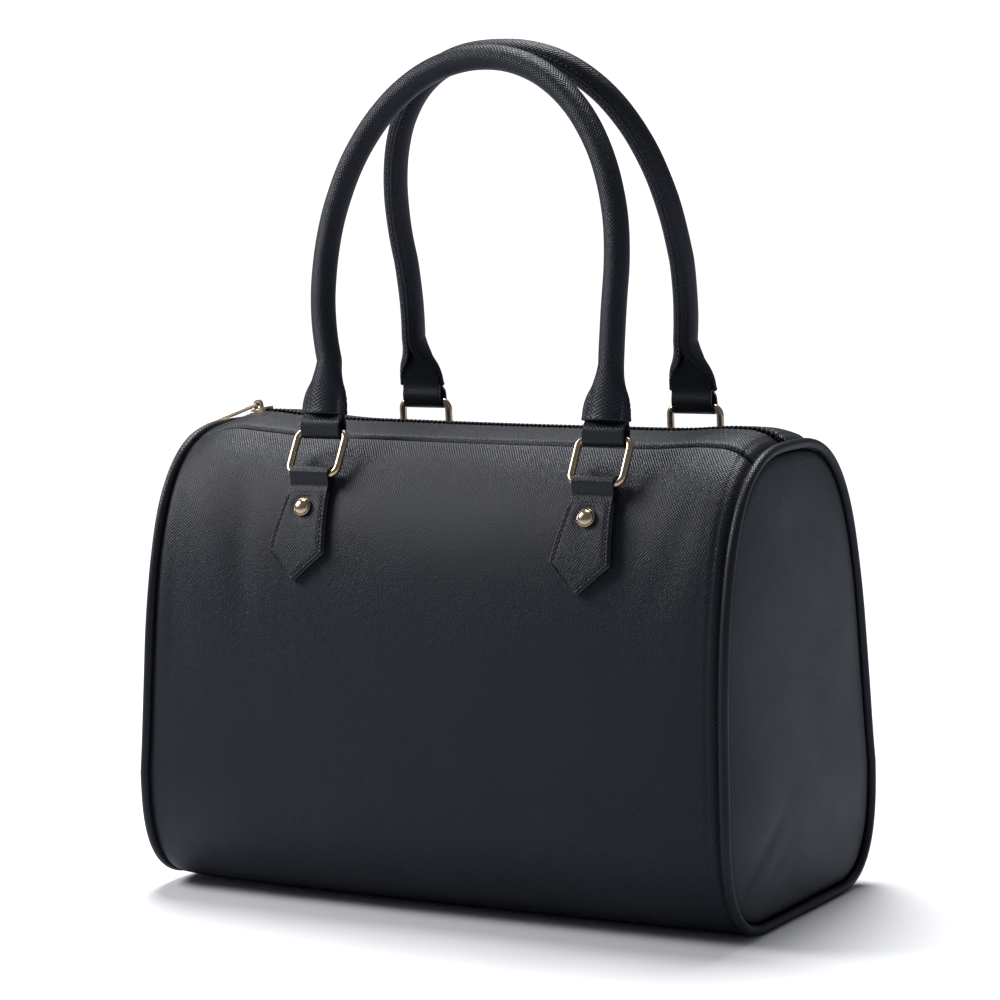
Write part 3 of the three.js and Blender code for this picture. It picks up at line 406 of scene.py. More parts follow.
def only(*pieces):
    bpy.ops.object.select_all(action="DESELECT")
    for piece in pieces:
        piece.select_set(True)
    bpy.context.view_layer.objects.active = pieces[-1]


def edit(piece, *steps):
    """Runs edit-mode operators on all of a piece. Each step is (operator, settings)."""
    only(piece)
    bpy.ops.object.mode_set(mode="EDIT")
    bpy.ops.mesh.select_all(action="SELECT")
    for operator, settings in steps:
        operator(**settings)
    bpy.ops.object.mode_set(mode="OBJECT")


def modify(piece, kind, **settings):
    """Adds a modifier and applies it."""
    only(piece)
    modifier = piece.modifiers.new(kind.title(), kind)
    for name, value in settings.items():
        setattr(modifier, name, value)
    bpy.ops.object.modifier_apply(modifier=modifier.name)


def primitive(operator, **settings):
    """Adds a thing with nothing else selected."""
    bpy.ops.object.select_all(action="DESELECT")
    operator(**settings)
    return bpy.context.object


def lay_grid(name, across, along, place):
    """A grid primitive laid in place. place takes two shares from -1 to 1 and gives a point and
    the leather's own measure there, both in millimetres."""
    piece = primitive(bpy.ops.mesh.primitive_grid_add, x_subdivisions=across,
                      y_subdivisions=along, size=2)
    piece.name = piece.data.name = name
    laid = [place(v.co.x, v.co.y) for v in piece.data.vertices]
    for vertex, (spot, _) in zip(piece.data.vertices, laid):
        vertex.co = spot * MM
    measure = piece.data.uv_layers.active
    measure.name = "leather"
    for loop in piece.data.loops:
        u, v = laid[loop.vertex_index][1]
        measure.data[loop.index].uv = (u * MM, v * MM)
    return piece


def face_away(piece, point, reach=BAG_LENGTH):
    """Turns an open sheet so that its faces look away from a point, in millimetres. Those within
    reach of it along the bag decide."""
    inside = Vector(point) * MM
    piece.data.update()
    looks = sum((face.center - inside).dot(face.normal) * face.area
                for face in piece.data.polygons if abs(face.center.x - inside.x) < reach * MM)
    if looks < 0:
        edit(piece, (bpy.ops.mesh.flip_normals, {}))


def thicken(piece, thickness):
    """Gives an open sheet its thickness, inwards."""
    modify(piece, "SOLIDIFY", thickness=thickness * MM, offset=-1)


def sheet(name, across, along, place, thickness=LEATHER):
    """A sheet of the body, laid in place and as thick as its leather or tape."""
    piece = lay_grid(name, across, along, place)
    face_away(piece, BODY_MIDDLE)
    thicken(piece, thickness)
    return piece


def close(piece):
    edit(piece, (bpy.ops.mesh.remove_doubles, {"threshold": 1e-6}),
         (bpy.ops.mesh.normals_make_consistent, {"inside": False}))


def tube(name, points, directions, radius, around, wobble=0.0):
    """A closed ring of round section along points; directions point away from its middle."""
    count = len(points)
    side = (points[1] - points[0]).cross(directions[0]).normalized()
    lengths = [0.0]
    for i in range(count):
        lengths.append(lengths[-1] + (points[(i + 1) % count] - points[i]).length)

    def place(u, v):
        i = round((v + 1) / 2 * count)
        angle = math.pi * u
        away = directions[i % count]
        thick = radius + wobble * noise.noise(points[i % count] / 30)
        spot = points[i % count] + thick * (math.cos(angle) * away + math.sin(angle) * side)
        return spot, (angle * radius, lengths[i])

    piece = lay_grid(name, around, count, place)
    close(piece)
    return piece


def copy_of_solid(node, name):
    """A merged copy of a solid, for a hard piece whose shape is already right."""
    piece = bpy.data.objects.new(name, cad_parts[node].data.copy())
    piece.data.name = name
    bpy.context.scene.collection.objects.link(piece)
    piece.data.materials.clear()
    edit(piece, (bpy.ops.mesh.remove_doubles, {"threshold": 1e-6}),
         (bpy.ops.mesh.dissolve_limited, {"angle_limit": math.radians(2)}))
    return piece


def join(name, pieces):
    only(*pieces)
    if len(pieces) > 1:
        bpy.ops.object.join()
    joined = bpy.context.object
    joined.name = joined.data.name = name
    return joined


def repeat(name, pattern, placings):
    """Copies of one pattern, each with its own mesh, joined into one piece."""
    copies = []
    for placing in placings:
        copy = bpy.data.objects.new(name, pattern.data.copy())
        copy.data.transform(placing)
        bpy.context.scene.collection.objects.link(copy)
        copies.append(copy)
    bpy.data.objects.remove(pattern)
    return join(name, copies)


def dress(piece, body, slot, *nodes, smooth=None, material=None):
    """Smooths a finished piece, hangs it on its body and lets it stand for its solids."""
    if material:
        piece.data.materials.append(material)
    only(piece)
    if smooth is None:
        bpy.ops.object.shade_smooth()
    else:
        bpy.ops.object.shade_smooth_by_angle(angle=math.radians(smooth))
    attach(piece, body)
    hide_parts(*nodes)
    return piece


# --- materials


def new_material(name):
    material = bpy.data.materials.new(name)
    material.use_nodes = True
    material.node_tree.nodes.clear()
    return material


def add_node(material, kind, inputs=None, **settings):
    """Adds a node with its settings, and gives its inputs values or links."""
    made = material.node_tree.nodes.new(kind)
    for name, value in settings.items():
        setattr(made, name, value)
    for name, value in (inputs or {}).items():
        if isinstance(value, bpy.types.NodeSocket):
            material.node_tree.links.new(value, made.inputs[name])
        else:
            made.inputs[name].default_value = value
    return made


def once(maker):
    """Makes a material the first time that it is asked for."""
    made = {}

    def ask(*words):
        if words not in made:
            made[words] = maker(*words)
        return made[words]

    return ask


def opaque(colour):
    return (*colour, 1)


def lies_at(material):
    """Where a point lies on its object, as coordinates for a texture."""
    return add_node(material, "ShaderNodeTexCoord").outputs["Object"]


def leather_measure(material):
    """Where a point lies on the flat leather or tape, in metres."""
    return add_node(material, "ShaderNodeUVMap", uv_map="leather").outputs["UV"]


def speckle(material, where, scale, detail, **more):
    return add_node(material, "ShaderNodeTexNoise",
                    {"Vector": where, "Scale": scale, "Detail": detail, **more}).outputs["Fac"]


def remap(material, value, low, high, to_low=0.0, to_high=1.0):
    return add_node(material, "ShaderNodeMapRange", {
        "Value": value, "From Min": low, "From Max": high,
        "To Min": to_low, "To Max": to_high}).outputs["Result"]


def blend(material, share, first, second):
    """A colour between two, by a share."""
    mix = add_node(material, "ShaderNodeMix", {"Factor": share}, data_type="RGBA")
    mix.inputs[6].default_value, mix.inputs[7].default_value = opaque(first), opaque(second)
    return mix.outputs[2]


def relief(material, height, strength, distance, inputs=None, **settings):
    return add_node(material, "ShaderNodeBump",
                    {"Height": height, "Strength": strength, "Distance": distance,
                     **(inputs or {})}, **settings).outputs["Normal"]


def coat(material, inputs):
    """Ends a material with its surface."""
    shader = add_node(material, "ShaderNodeBsdfPrincipled", inputs)
    add_node(material, "ShaderNodeOutputMaterial", {"Surface": shader.outputs["BSDF"]})
    return material


@once
def pressed_leather(name, part, rough, depth):
    """Split leather with a polyurethane coat, pressed hot with a crosshatch grain. The eye gets
    a soft broad sheen broken by the hatch, faint wear and a few long scuffs."""
    look = bpy.context.scene.bag_leather
    colour = tuple(getattr(look, part))
    material = new_material(name)
    measure = leather_measure(material)

    def turned(degrees, **more):
        return add_node(material, "ShaderNodeMapping", {
            "Vector": measure, "Rotation": (0, 0, math.radians(degrees)), **more}
        ).outputs["Vector"]

    def hatch(degrees, share):
        return add_node(
            material, "ShaderNodeTexWave",
            {"Vector": turned(degrees), "Scale": WAVE_SCALE / look.grain * share,
             "Distortion": 2.2, "Detail": 2.0, "Detail Scale": 0.9},
            bands_direction="X").outputs["Fac"]

    crossing = add_node(material, "ShaderNodeMix", {
        "A": hatch(-32, 1.0), "B": hatch(44, 0.95), "Factor": 0.47})
    grain = add_node(material, "ShaderNodeMath",
                     {0: crossing.outputs["Result"],
                      1: speckle(material, measure, 0.9 / look.grain, 2.0)}, operation="ADD")
    cloudy = speckle(material, measure, 18.0, 4.0, Roughness=0.6)
    scuffs = speckle(material, turned(-30, Scale=(420, 26, 1)), 1.0, 1.0)
    worn = remap(material, cloudy, 0.3, 0.7, 0.0, 0.55)
    low = relief(material, remap(material, scuffs, 0.62, 0.74), 0.12, 0.0002, invert=True)
    # The blue Specular Tint is a painted reflection colour: it tints the leather's reflections
    # blue, standing in for bluish room light
    return coat(material, {
        "Base Color": blend(material, worn, colour,
                            tuple(min(1, c * 1.55 + 0.002) for c in colour)),
        "Roughness": remap(material, cloudy, 0.3, 0.7, rough + 0.05, rough - 0.05),
        "Normal": relief(material, grain.outputs["Value"], depth, 0.0002, {"Normal": low}),
        "IOR": 1.47, "Specular IOR Level": 0.42, "Specular Tint": (0.88, 0.9, 1, 1)})


@once
def edge_paint_and_highlight():
    """Acrylic edge paint, brushed on and ironed. It is smoother than the leather beside it. Its
    lighter colour is partly the paint's own and partly a painted highlight along the tabs' edges."""
    material = new_material("acrylic_edge_paint")
    brushed = speckle(material, lies_at(material), 900.0, 2.0)
    return coat(material, {"Base Color": opaque(bpy.context.scene.bag_leather.edge),
                           "Roughness": 0.36, "Normal": relief(material, brushed, 0.2, 0.0001)})


@once
def sewing_thread():
    """Bonded polyester thread: three twisted plies with a dull shine."""
    material = new_material("bonded_polyester_thread")
    plies = speckle(material, lies_at(material), 2600.0, 1.0)
    return coat(material, {"Base Color": opaque(bpy.context.scene.bag_leather.thread),
                           "Roughness": 0.5, "Normal": relief(material, plies, 0.5, 0.0001),
                           "Sheen Weight": 0.2})


@once
def plated_gold():
    """Zinc alloy, cast, tumbled and plated in pale gold: bright, with a faint unevenness from
    the polishing and small rubbed spots."""
    material = new_material("pale_gold_plated_zinc")
    polish = speckle(material, lies_at(material), 260.0, 4.0)
    gold = tuple(bpy.context.scene.bag_fittings.gold)
    return coat(material, {
        "Base Color": blend(material, polish, gold, tuple(c * 0.86 for c in gold)),
        "Metallic": 1.0, "Roughness": remap(material, polish, 0.3, 0.7, 0.16, 0.3),
        "Normal": relief(material, polish, 0.06, 0.0002)})


@once
def moulded_teeth():
    """Acetal, injection moulded: waxy and softly glossy with a slightly orange-peeled skin."""
    material = new_material("moulded_acetal")
    skin = speckle(material, lies_at(material), 1500.0, 1.0)
    return coat(material, {"Base Color": opaque(bpy.context.scene.bag_fittings.teeth),
                           "Roughness": 0.34, "IOR": 1.48,
                           "Normal": relief(material, skin, 0.15, 0.0001)})


@once
def woven_tape():
    """Polyester tape in a fine twill: matt, with ribs along its length. The ribs are 0.8 mm
    apart, coarser than real ones, so that they show."""
    material = new_material("woven_polyester_tape")
    ribs = add_node(material, "ShaderNodeTexWave",
                    {"Vector": leather_measure(material), "Scale": WAVE_SCALE / 0.0008,
                     "Distortion": 0.6}, bands_direction="DIAGONAL").outputs["Fac"]
    tape = tuple(bpy.context.scene.bag_fittings.tape)
    return coat(material, {
        "Base Color": blend(material, ribs, tape, tuple(c * 1.8 for c in tape)),
        "Roughness": 0.85, "Normal": relief(material, ribs, 0.6, 0.0002), "Sheen Weight": 0.25})


def body_leather():
    return pressed_leather("crosshatch_coated_leather", "body", 0.41, 1.0)


def trim_leather():
    return pressed_leather("smooth_coated_leather", "trim", 0.38, 0.75)


# --- body of the bag


CALM_EDGE = 12  # width beside a seam over which the soft hollows die out
LEFT_SINK, RIGHT_SINK = 0.5, 0.95  # share of the seams' depth beside the two pipings
FOLD_IN, FOLD_WIDTH, FOLD_DEPTH = 5.2, 0.9, 0.45
GUSSET_REACH = 80  # about the way from the middle of an end panel to its rim


def seam_roll(distance, depth_share=1.0):
    """How far the leather lies below its surface at a distance from a seam."""
    shape = bpy.context.scene.bag_shape
    width = shape.seam_width / MM
    if distance >= width:
        return 0.0
    return depth_share * shape.seam_depth / MM * (1 - max(0, distance) / width) ** 2


def pressed_fold(x):
    """Dent of the turned edge that shows through the leather beside the right piping."""
    from_end = SHELL_HALF - abs(x)
    return FOLD_DEPTH * math.exp(-((from_end - FOLD_IN) / FOLD_WIDTH) ** 2) if x > 0 else 0


def slack(x, distance, seed):
    """Soft hollows of leather that isn't pulled tight, always inwards."""
    depth = bpy.context.scene.bag_shape.slack / MM
    broad = noise.noise(Vector((x / 95, distance / 75, seed)))
    small = noise.noise(Vector((x / 34, distance / 48, seed + 9.3)))
    return -depth * (0.5 + 0.42 * broad + 0.16 * small)


# Soft creases: place along the bag, height, half length and half width, lean from upright in
# degrees and depth, in millimetres
FRONT_CREASES = (
    (-114, 190, 40, 9, -6, 1.3),
    (118, 200, 36, 16, 4, 1.5),
    (-148, 196, 26, 7, -24, 0.9),
    (-128, 206, 20, 5, -30, 0.5),
    (-152, 148, 40, 10, -8, 0.7),
    (140, 190, 34, 9, 16, 0.8),
    (118, 60, 30, 14, 60, 0.6),
)
BACK_CREASES = (
    (142, 192, 26, 8, 22, 0.9),
    (-136, 180, 34, 9, -16, 0.8),
    (30, 90, 44, 14, 74, 0.5),
)
GUSSET_CREASES = (
    (-58, 34, 34, 5, 52, 1.1),
    (-44, 26, 24, 5, 58, 0.7),
    (52, 40, 30, 7, -50, 0.7),
    (0, 196, 34, 12, 88, 0.5),
)


def creased(a, b, creases):
    """Depth of the creases at a place on a flat panel."""
    depth = 0.0
    for at_a, at_b, half_length, half_width, lean, deep in creases:
        turn = math.radians(lean)
        along = (a - at_a) * math.sin(turn) + (b - at_b) * math.cos(turn)
        beside = (a - at_a) * math.cos(turn) - (b - at_b) * math.sin(turn)
        depth -= deep * math.exp(-(along / half_length) ** 2 - (beside / half_width) ** 2)
    return depth


def shell_sheet(name, side, low, high, across, along, seed, creases=(), edges=(1, 1)):
    """One leather panel of the shell between two places on the section, with rolled-in edges."""

    def place(u, v):
        x = round(SHEET_HALF * gather(u), 3)
        section = shell_section(x)
        start, end = low(section), high(section)
        distance = start + (end - start) * (gather(v) + 1) / 2
        height = section.at(distance)[1]
        offset = slack(x, distance, seed) + creased(x, height, creases)
        from_end = SHELL_HALF - abs(x)
        sunk = max(seam_roll(from_end, RIGHT_SINK if x > 0 else LEFT_SINK),
                   seam_roll(distance - start, edges[0]), seam_roll(end - distance, edges[1]))
        calm = ease(min(from_end, distance - start, end - distance) / CALM_EDGE)
        offset = offset * calm - sunk - pressed_fold(x)
        return lean_in(section.spot(side, x, distance, offset)), (x, distance)

    return sheet(name, across, along, place)


def base_seam(section):
    return section.where_base_depth(BASE_SEAM_FROM_MIDDLE)


def top_seam(section):
    return section.where_top_depth(TOP_SEAM_FROM_MIDDLE)


def zip_edge(section):
    return section.where_top_depth(ZIP_OPENING / 2)


class BAG_OT_panels(bpy.types.Operator):
    """Make the front, back and top panels and the base"""
    bl_idname = "bag.panels"
    bl_label = "Panels"

    def execute(self, context):
        for name, side, creases, seed in (("front", FRONT, FRONT_CREASES, 3.1),
                                          ("back", BACK, BACK_CREASES, 17.7)):
            panel = shell_sheet(f"{name}_panel_leather", side,
                                lambda s: base_seam(s) + SEAM_GAP / 2,
                                lambda s: top_seam(s) - SEAM_GAP / 2, 170, 120, seed, creases,
                                (1, 1.5))
            dress(panel, "bag", "leather_black", f"{name}_panel", material=body_leather())
            top = shell_sheet(f"top_panel_{name}_leather", side,
                              lambda s: top_seam(s) + SEAM_GAP / 2, zip_edge, 170, 30,
                              seed + 5, (), (1.3, 0.6))
            dress(top, "bag", "leather_black", f"top_panel_{name}", material=body_leather())

        def place(u, v):
            x = round(SHEET_HALF * gather(u), 3)
            section = shell_section(x)
            edge = base_seam(section) - SEAM_GAP / 2
            distance = edge * gather(v)
            sunk = max(seam_roll(edge - abs(distance)), seam_roll(SHELL_HALF - abs(x), 0.5))
            side = BACK if distance > 0 else FRONT
            return lean_in(section.spot(side, x, abs(distance), -sunk)), (x, distance)

        base = sheet("base_leather", 120, 60, place)
        dress(base, "bag", "leather_deep", "base_panel", material=body_leather())
        return {"FINISHED"}


class BAG_OT_ends(bpy.types.Operator):
    """Make the padded end panels and the pipings round them"""
    bl_idname = "bag.ends"
    bl_label = "Ends and pipings"

    def execute(self, context):
        for name, end in (("left", -1), ("right", 1)):
            outline = [spot for spot, _ in end_outline(end, PIPING_SHOWN + CLEARANCE, 400)]
            middle = Vector(BODY_MIDDLE)

            def place(u, v):
                share = max(abs(u), abs(v))
                turn = math.atan2(u, -v) / (2 * math.pi) % 1
                i = turn * len(outline)
                a, b = outline[int(i) % len(outline)], outline[(int(i) + 1) % len(outline)]
                reach = gather(share, 0.3)
                spot = middle.lerp(a.lerp(b, i % 1), reach)
                level = (BAG_LENGTH / 2 + GUSSET_RECESS + GUSSET_DOME * (1 - reach ** DOME_CURVE)
                         + slack(spot.y, spot.z, 31.0 + end)
                         + creased(spot.y, spot.z, GUSSET_CREASES)
                         - seam_roll((1 - reach) * GUSSET_REACH, 0.7))
                spot.x = end * level
                return lean_in(spot), (spot.y, spot.z)

            gusset = sheet(f"gusset_{name}_leather", 96, 96, place)
            dress(gusset, "bag", "leather_black", f"gusset_{name}", material=body_leather())

            ring = end_outline(end, PIPING_SHOWN / 2, 300)
            line = [lean_in(Vector((end * BAG_LENGTH / 2, p.y, p.z))) for p, _ in ring]
            piping = tube(f"piping_{name}_leather", line, [d for _, d in ring],
                          PIPING_SHOWN / 2, 20, 0.2)
            dress(piping, "bag", "leather_deep", f"piping_{name}", material=trim_leather())
        return {"FINISHED"}


# --- zip


def zip_placing(x, lift):
    """Places a thing on the zip, level with the leather's edges and raised by lift."""
    slope = math.atan2(top_line(x + 2) - top_line(x - 2), 4)
    return (Matrix.Translation(Vector((x, 0, top_line(x) + lift)) * MM)
            @ Matrix.Rotation(-slope, 4, "Y"))


class BAG_OT_zip(bpy.types.Operator):
    """Make the zip's tape, teeth, slider and puller"""
    bl_idname = "bag.zip"
    bl_label = "Zip"

    def execute(self, context):
        below = -(LEATHER + CLEARANCE)

        def place(u, v):
            x = round(SHELL_HALF * u, 3)
            section = shell_section(x)
            y = v * TAPE_WIDTH / 2
            side = BACK if y > 0 else FRONT
            spot = section.spot(side, x, section.where_top_depth(abs(y)), below)
            return lean_in(spot), (x, y)

        tape = sheet("zip_tape_woven", 140, 16, place, TAPE_THICKNESS)
        dress(tape, "bag", "zip_tape", "zip_tape", material=woven_tape())

        long, wide, tall = (size * MM for size in TOOTH)
        tooth = primitive(bpy.ops.mesh.primitive_cube_add, size=1, scale=(long, wide, tall))
        bpy.ops.object.transform_apply(location=False, rotation=False, scale=True)
        modify(tooth, "BEVEL", width=0.32 * MM, segments=2)
        placings = []
        half = SHELL_HALF * TOP_LEAN - 1.5
        for i in range(int(4 * half / TEETH_PITCH)):
            x = -half + i * TEETH_PITCH / 2
            side = 1 if i % 2 else -1
            placings.append(zip_placing(x, TEETH_PROUD - TOOTH[2] / 2)
                            @ Matrix.Translation((0, side * TOOTH_ASIDE * MM, 0)))
        teeth = repeat("zip_teeth_moulded", tooth, placings)
        dress(teeth, "bag", "zip_teeth", "zip_teeth", smooth=40, material=moulded_teeth())

        for node, body in (("zip_slider", "bag"), ("zip_puller", "puller")):
            part = copy_of_solid(node, f"{node}_metal")
            modify(part, "BEVEL", width=0.22 * MM, segments=3, angle_limit=math.radians(35))
            dress(part, body, "gold_metal", node, smooth=50, material=plated_gold())
        return {"FINISHED"}


# --- tabs, rivets, rings and straps


class Fixing:
    """Where one end of a handle is fixed: its tab's seat, its ring and the axes of its handle."""

    def __init__(self, handle, hand):
        self.handle = handle
        self.side = handle["side"]
        self.x = handle["shift"] + hand * HANDLE_SPACING / 2
        self.section = shell_section(round(self.x, 3))
        self.seat = self.section.where_height(handle["seat"])
        self.bar_offset = CLEARANCE + LOOP_HOLE + STRAP_LAYER
        self.bar = self.section.spot(self.side, self.x, self.seat, self.bar_offset)
        lean = math.radians(handle["ring_lean"])
        self.ring_up = Vector((0, -self.side * math.sin(lean), math.cos(lean)))
        self.top_bar = self.bar + self.ring_up * (RING_INNER_HEIGHT + RING_WIRE)
        self.up, self.out = handle_axes(handle)

    def hang(self, down):
        """How far the tab has swung sideways, a length down from the ring's bar."""
        return self.handle["hang"] * max(0, down) / TAB_LENGTH

    def on_panel(self, x, down, offset):
        """Point over the panel beside the tab, a length down from the ring's bar."""
        section = shell_section(round(x, 3))
        start = section.where_height(self.handle["seat"])
        return section.spot(self.side, x, start - down, offset)


def handle_axes(handle):
    lean = math.radians(handle["lean"])
    return (Vector((0, -handle["side"] * math.sin(lean), math.cos(lean))),
            Vector((0, handle["side"] * math.cos(lean), math.sin(lean))))


def fixings():
    for name, handle in HANDLES.items():
        for place, hand in (("l", -1), ("r", 1)):
            yield name[0] + place, Fixing(handle, hand)


TAB_ROWS = 60  # faces down the tab; its corners fall on a row


def tab_half(down):
    """Half the width of a tab, in millimetres, at a share of the way down it."""
    return float(np.interp(down, TAB_DOWN, TAB_WIDE)) * TAB_WIDTH / 2


def tab_layer(name, fixing, low, high, grow):
    """One layer of the pointed tab, from one height over the panel to another."""
    start, corner, tip = TAB_DOWN
    corner_row = round(TAB_ROWS * (corner - start) / (tip - start))

    def place(u, v):
        row = (v + 1) / 2 * TAB_ROWS
        if row <= corner_row:
            down = start + (corner - start) * row / corner_row
        else:
            down = corner + (tip - corner) * (row - corner_row) / (TAB_ROWS - corner_row)
        half = tab_half(down) + grow
        across = gather(u) * half
        length = down * TAB_LENGTH + (grow if down > corner else 0) * ease(row / TAB_ROWS)
        from_edge = min(half - abs(across), (tip - down) * TAB_LENGTH + 0.4)
        press = 0.5 * math.exp(-((from_edge - 2.2) / 0.8) ** 2)
        round_off = 0.5 * max(0, 1 - from_edge / 1.1) ** 2
        rivet = math.hypot(across, length - RIVET_DOWN)
        dimple = 0.5 * math.exp(-((rivet - 5.4) / 1.6) ** 2)
        x = fixing.x + across + fixing.hang(length)
        spot = fixing.on_panel(x, length, high - press - round_off - dimple)
        return spot, (across, length)

    layer = sheet(name, 28, TAB_ROWS, place, high - low)
    edit(layer, (bpy.ops.mesh.remove_doubles, {"threshold": 2e-5}))
    return layer


def ribbon(name, profile, width_at, place_at, across, wall, inside):
    """A strap of some width that follows a profile; place_at turns the profile into the bag."""
    run = Run(profile)
    along = max(24, int(run.total / 0.7))

    def place(u, v):
        distance = (v + 1) / 2 * run.total
        spot = run.at(distance)
        beside = gather(u, 0.4) * width_at(distance, spot) / 2
        return place_at(beside, spot), (beside, distance)

    strap = lay_grid(name, across, along, place)
    face_away(strap, inside)
    thicken(strap, wall)
    modify(strap, "BEVEL", width=0.3 * MM, segments=2, angle_limit=math.radians(50))
    return strap


class BAG_OT_tabs(bpy.types.Operator):
    """Make the pointed tabs with the loops that hold the rings"""
    bl_idname = "bag.tabs"
    bl_label = "Tabs"

    def execute(self, context):
        for letters, fixing in fixings():
            top = CLEARANCE + TAB_THICKNESS
            upper = tab_layer(f"tab_{letters}_upper", fixing, top - TAB_UPPER, top, 0)
            upper.data.materials.append(body_leather())
            lower = tab_layer(f"tab_{letters}_lower", fixing, CLEARANCE - 0.1,
                              top - TAB_UPPER - 0.15, TAB_LOWER_GROWS)
            # The lower layer shows as a lighter band round the tab: edge paint plus a painted
            # highlight
            lower.data.materials.append(edge_paint_and_highlight())
            crease = TAB_DOWN[0] * TAB_LENGTH
            radius = LOOP_HOLE + STRAP_LAYER
            middle = fixing.bar_offset
            round_bar = [(-radius * math.sin(math.radians(a)),
                          middle + radius * math.cos(math.radians(a)), 0)
                         for a in range(-20, 201, 20)]
            profile = curve_through(
                [(crease + 3.2, top - 0.15, 0), (crease, top - 0.02, 0),
                 (crease * 0.62, top + 0.55, 0), *round_bar, (crease * 0.6, 1.5, 0)], 6)
            loop = ribbon(
                f"tab_{letters}_loop", profile, lambda d, spot: STRAP_WIDTH,
                lambda x, spot: fixing.on_panel(fixing.x + x, spot.x, spot.y), 20,
                STRAP_LAYER, fixing.bar)
            loop.data.materials.append(trim_leather())
            tab = join(f"tab_{letters}_leather", [lower, loop, upper])
            dress(tab, "bag", "leather_black", f"tab_{letters}", smooth=40)
        return {"FINISHED"}


class BAG_OT_metalwork(bpy.types.Operator):
    """Make the wire rings and the domed rivets"""
    bl_idname = "bag.metalwork"
    bl_label = "Rings and rivets"

    def execute(self, context):
        for letters, fixing in fixings():
            half_wide = (RING_INNER_WIDTH + RING_WIRE) / 2 - RING_CORNER
            tall = RING_INNER_HEIGHT + RING_WIRE
            centres = ((half_wide, RING_CORNER, -90), (half_wide, tall - RING_CORNER, 0),
                       (-half_wide, tall - RING_CORNER, 90), (-half_wide, RING_CORNER, 180))
            points, directions = [], []
            for across, rise, start in centres:
                for step in range(11):
                    angle = math.radians(start + 9 * step)
                    away = Vector((math.cos(angle), 0, 0)) + fixing.ring_up * math.sin(angle)
                    spot = fixing.bar + fixing.ring_up * rise + away * RING_CORNER
                    points.append(spot + Vector((across, 0, 0)))
                    directions.append(away)
            ring = tube(f"ring_{letters}_metal", points, directions, RING_WIRE / 2, 20)
            dress(ring, "bag", "gold_metal", f"ring_{letters}", material=plated_gold())

            foot = fixing.on_panel(fixing.x + fixing.hang(RIVET_DOWN), RIVET_DOWN,
                                   2 * CLEARANCE + TAB_THICKNESS)
            out = fixing.section.direction(fixing.side, fixing.seat - RIVET_DOWN)
            rivet = primitive(bpy.ops.mesh.primitive_uv_sphere_add, segments=36, ring_count=24,
                              radius=1)
            for vertex in rivet.data.vertices:
                flat = Vector((vertex.co.x, vertex.co.y, 0))
                if vertex.co.z < 0:
                    vertex.co = flat * (0.86 + 0.14 * (1 + vertex.co.z))
                else:
                    vertex.co.z = vertex.co.z ** 0.86
            edit(rivet, (bpy.ops.transform.resize, {
                "value": (RIVET_DIAMETER / 2 * MM, RIVET_DIAMETER / 2 * MM, RIVET_DOME * MM),
                "center_override": (0, 0, 0)}))
            turn = out.to_track_quat("Z", "Y").to_matrix().to_4x4()
            rivet.data.transform(Matrix.Translation(foot * MM) @ turn)
            rim = primitive(
                bpy.ops.mesh.primitive_torus_add, major_segments=48, minor_segments=10,
                major_radius=(RIVET_DIAMETER / 2) * MM, minor_radius=RIVET_RIM * MM)
            rim.data.transform(Matrix.Translation((foot + out * 0.2) * MM) @ turn)
            joined = join(f"rivet_{letters}_metal", [rim, rivet])
            joined.data.materials.clear()
            dress(joined, "bag", "gold_metal", f"rivet_{letters}", material=plated_gold())
        return {"FINISHED"}


class BAG_OT_straps(bpy.types.Operator):
    """Make the straps that go round the rings' top bars and up into the handles"""
    bl_idname = "bag.straps"
    bl_label = "Straps"

    def execute(self, context):
        for letters, fixing in fixings():
            radius = LOOP_HOLE + STRAP_LAYER
            thick = STRAP_THICKNESS / 2
            round_bar = [(radius * math.cos(math.radians(a)), radius * math.sin(math.radians(a)), 0)
                         for a in range(0, -181, -20)]
            profile = curve_through(
                [(thick, LEAF_LENGTH, 0), (thick, 18, 0), (thick + 0.1, 11.5, 0),
                 (thick + 0.7, 8.2, 0), (radius * 1.1, 4.6, 0), *round_bar,
                 (-radius * 0.98, 4.2, 0), (-thick - 0.5, 8.4, 0), (-thick, 12, 0),
                 (-thick, 18, 0), (-thick, LEAF_LENGTH, 0)], 6)

            def width_at(distance, spot):
                return STRAP_WIDTH * float(np.interp(spot.y / LEAF_LENGTH, LEAF_UP, LEAF_WIDE))

            def place_at(x, spot):
                return (fixing.top_bar + fixing.out * spot.x + fixing.up * spot.y
                        + Vector((x, 0, 0)))

            strap = ribbon(f"strap_{letters}_leather", profile, width_at, place_at, 20,
                           STRAP_LAYER, fixing.top_bar)
            dress(strap, "bag", "leather_deep", f"strap_{letters}", smooth=40,
                  material=trim_leather())
        return {"FINISHED"}


# --- handles


def handle_line(handle):
    """Half of a handle's middle line: places across and up its plane, with its flatness and
    shift there and its sideways stand, from the hood's edge to the top of the arch."""
    line = []
    for i in range(30):
        up = i / 30
        line.append((HANDLE_SPACING / 2, STRAP_FREE + up * HOOD_LENGTH,
                     float(np.interp(up, *HOOD_FLATNESS)), float(np.interp(up, *HOOD_MOVE)), 0))
    hood_top = STRAP_FREE + HOOD_LENGTH
    for i in range(24):
        t = i / 24
        swung = t * (2 - t)
        across = HANDLE_SPACING / 2 + (handle["half_spread"] - HANDLE_SPACING / 2) * swung
        line.append((across, hood_top + (HANDLE_LEG - hood_top) * t, 0, 0,
                     handle["sway"] * swung))
    for i in range(71):
        angle = i / 70 * math.pi / 2
        across = handle["half_spread"] * max(0, math.cos(angle)) ** (2 / handle["curve"])
        climb = math.sin(angle) ** (2 / handle["curve"])
        sideways = handle["sway"] + (handle["crown_sway"] - handle["sway"]) * climb
        line.append((across, HANDLE_LEG + (HANDLE_RISE - HANDLE_LEG) * climb, 0, 0, sideways))
    return line


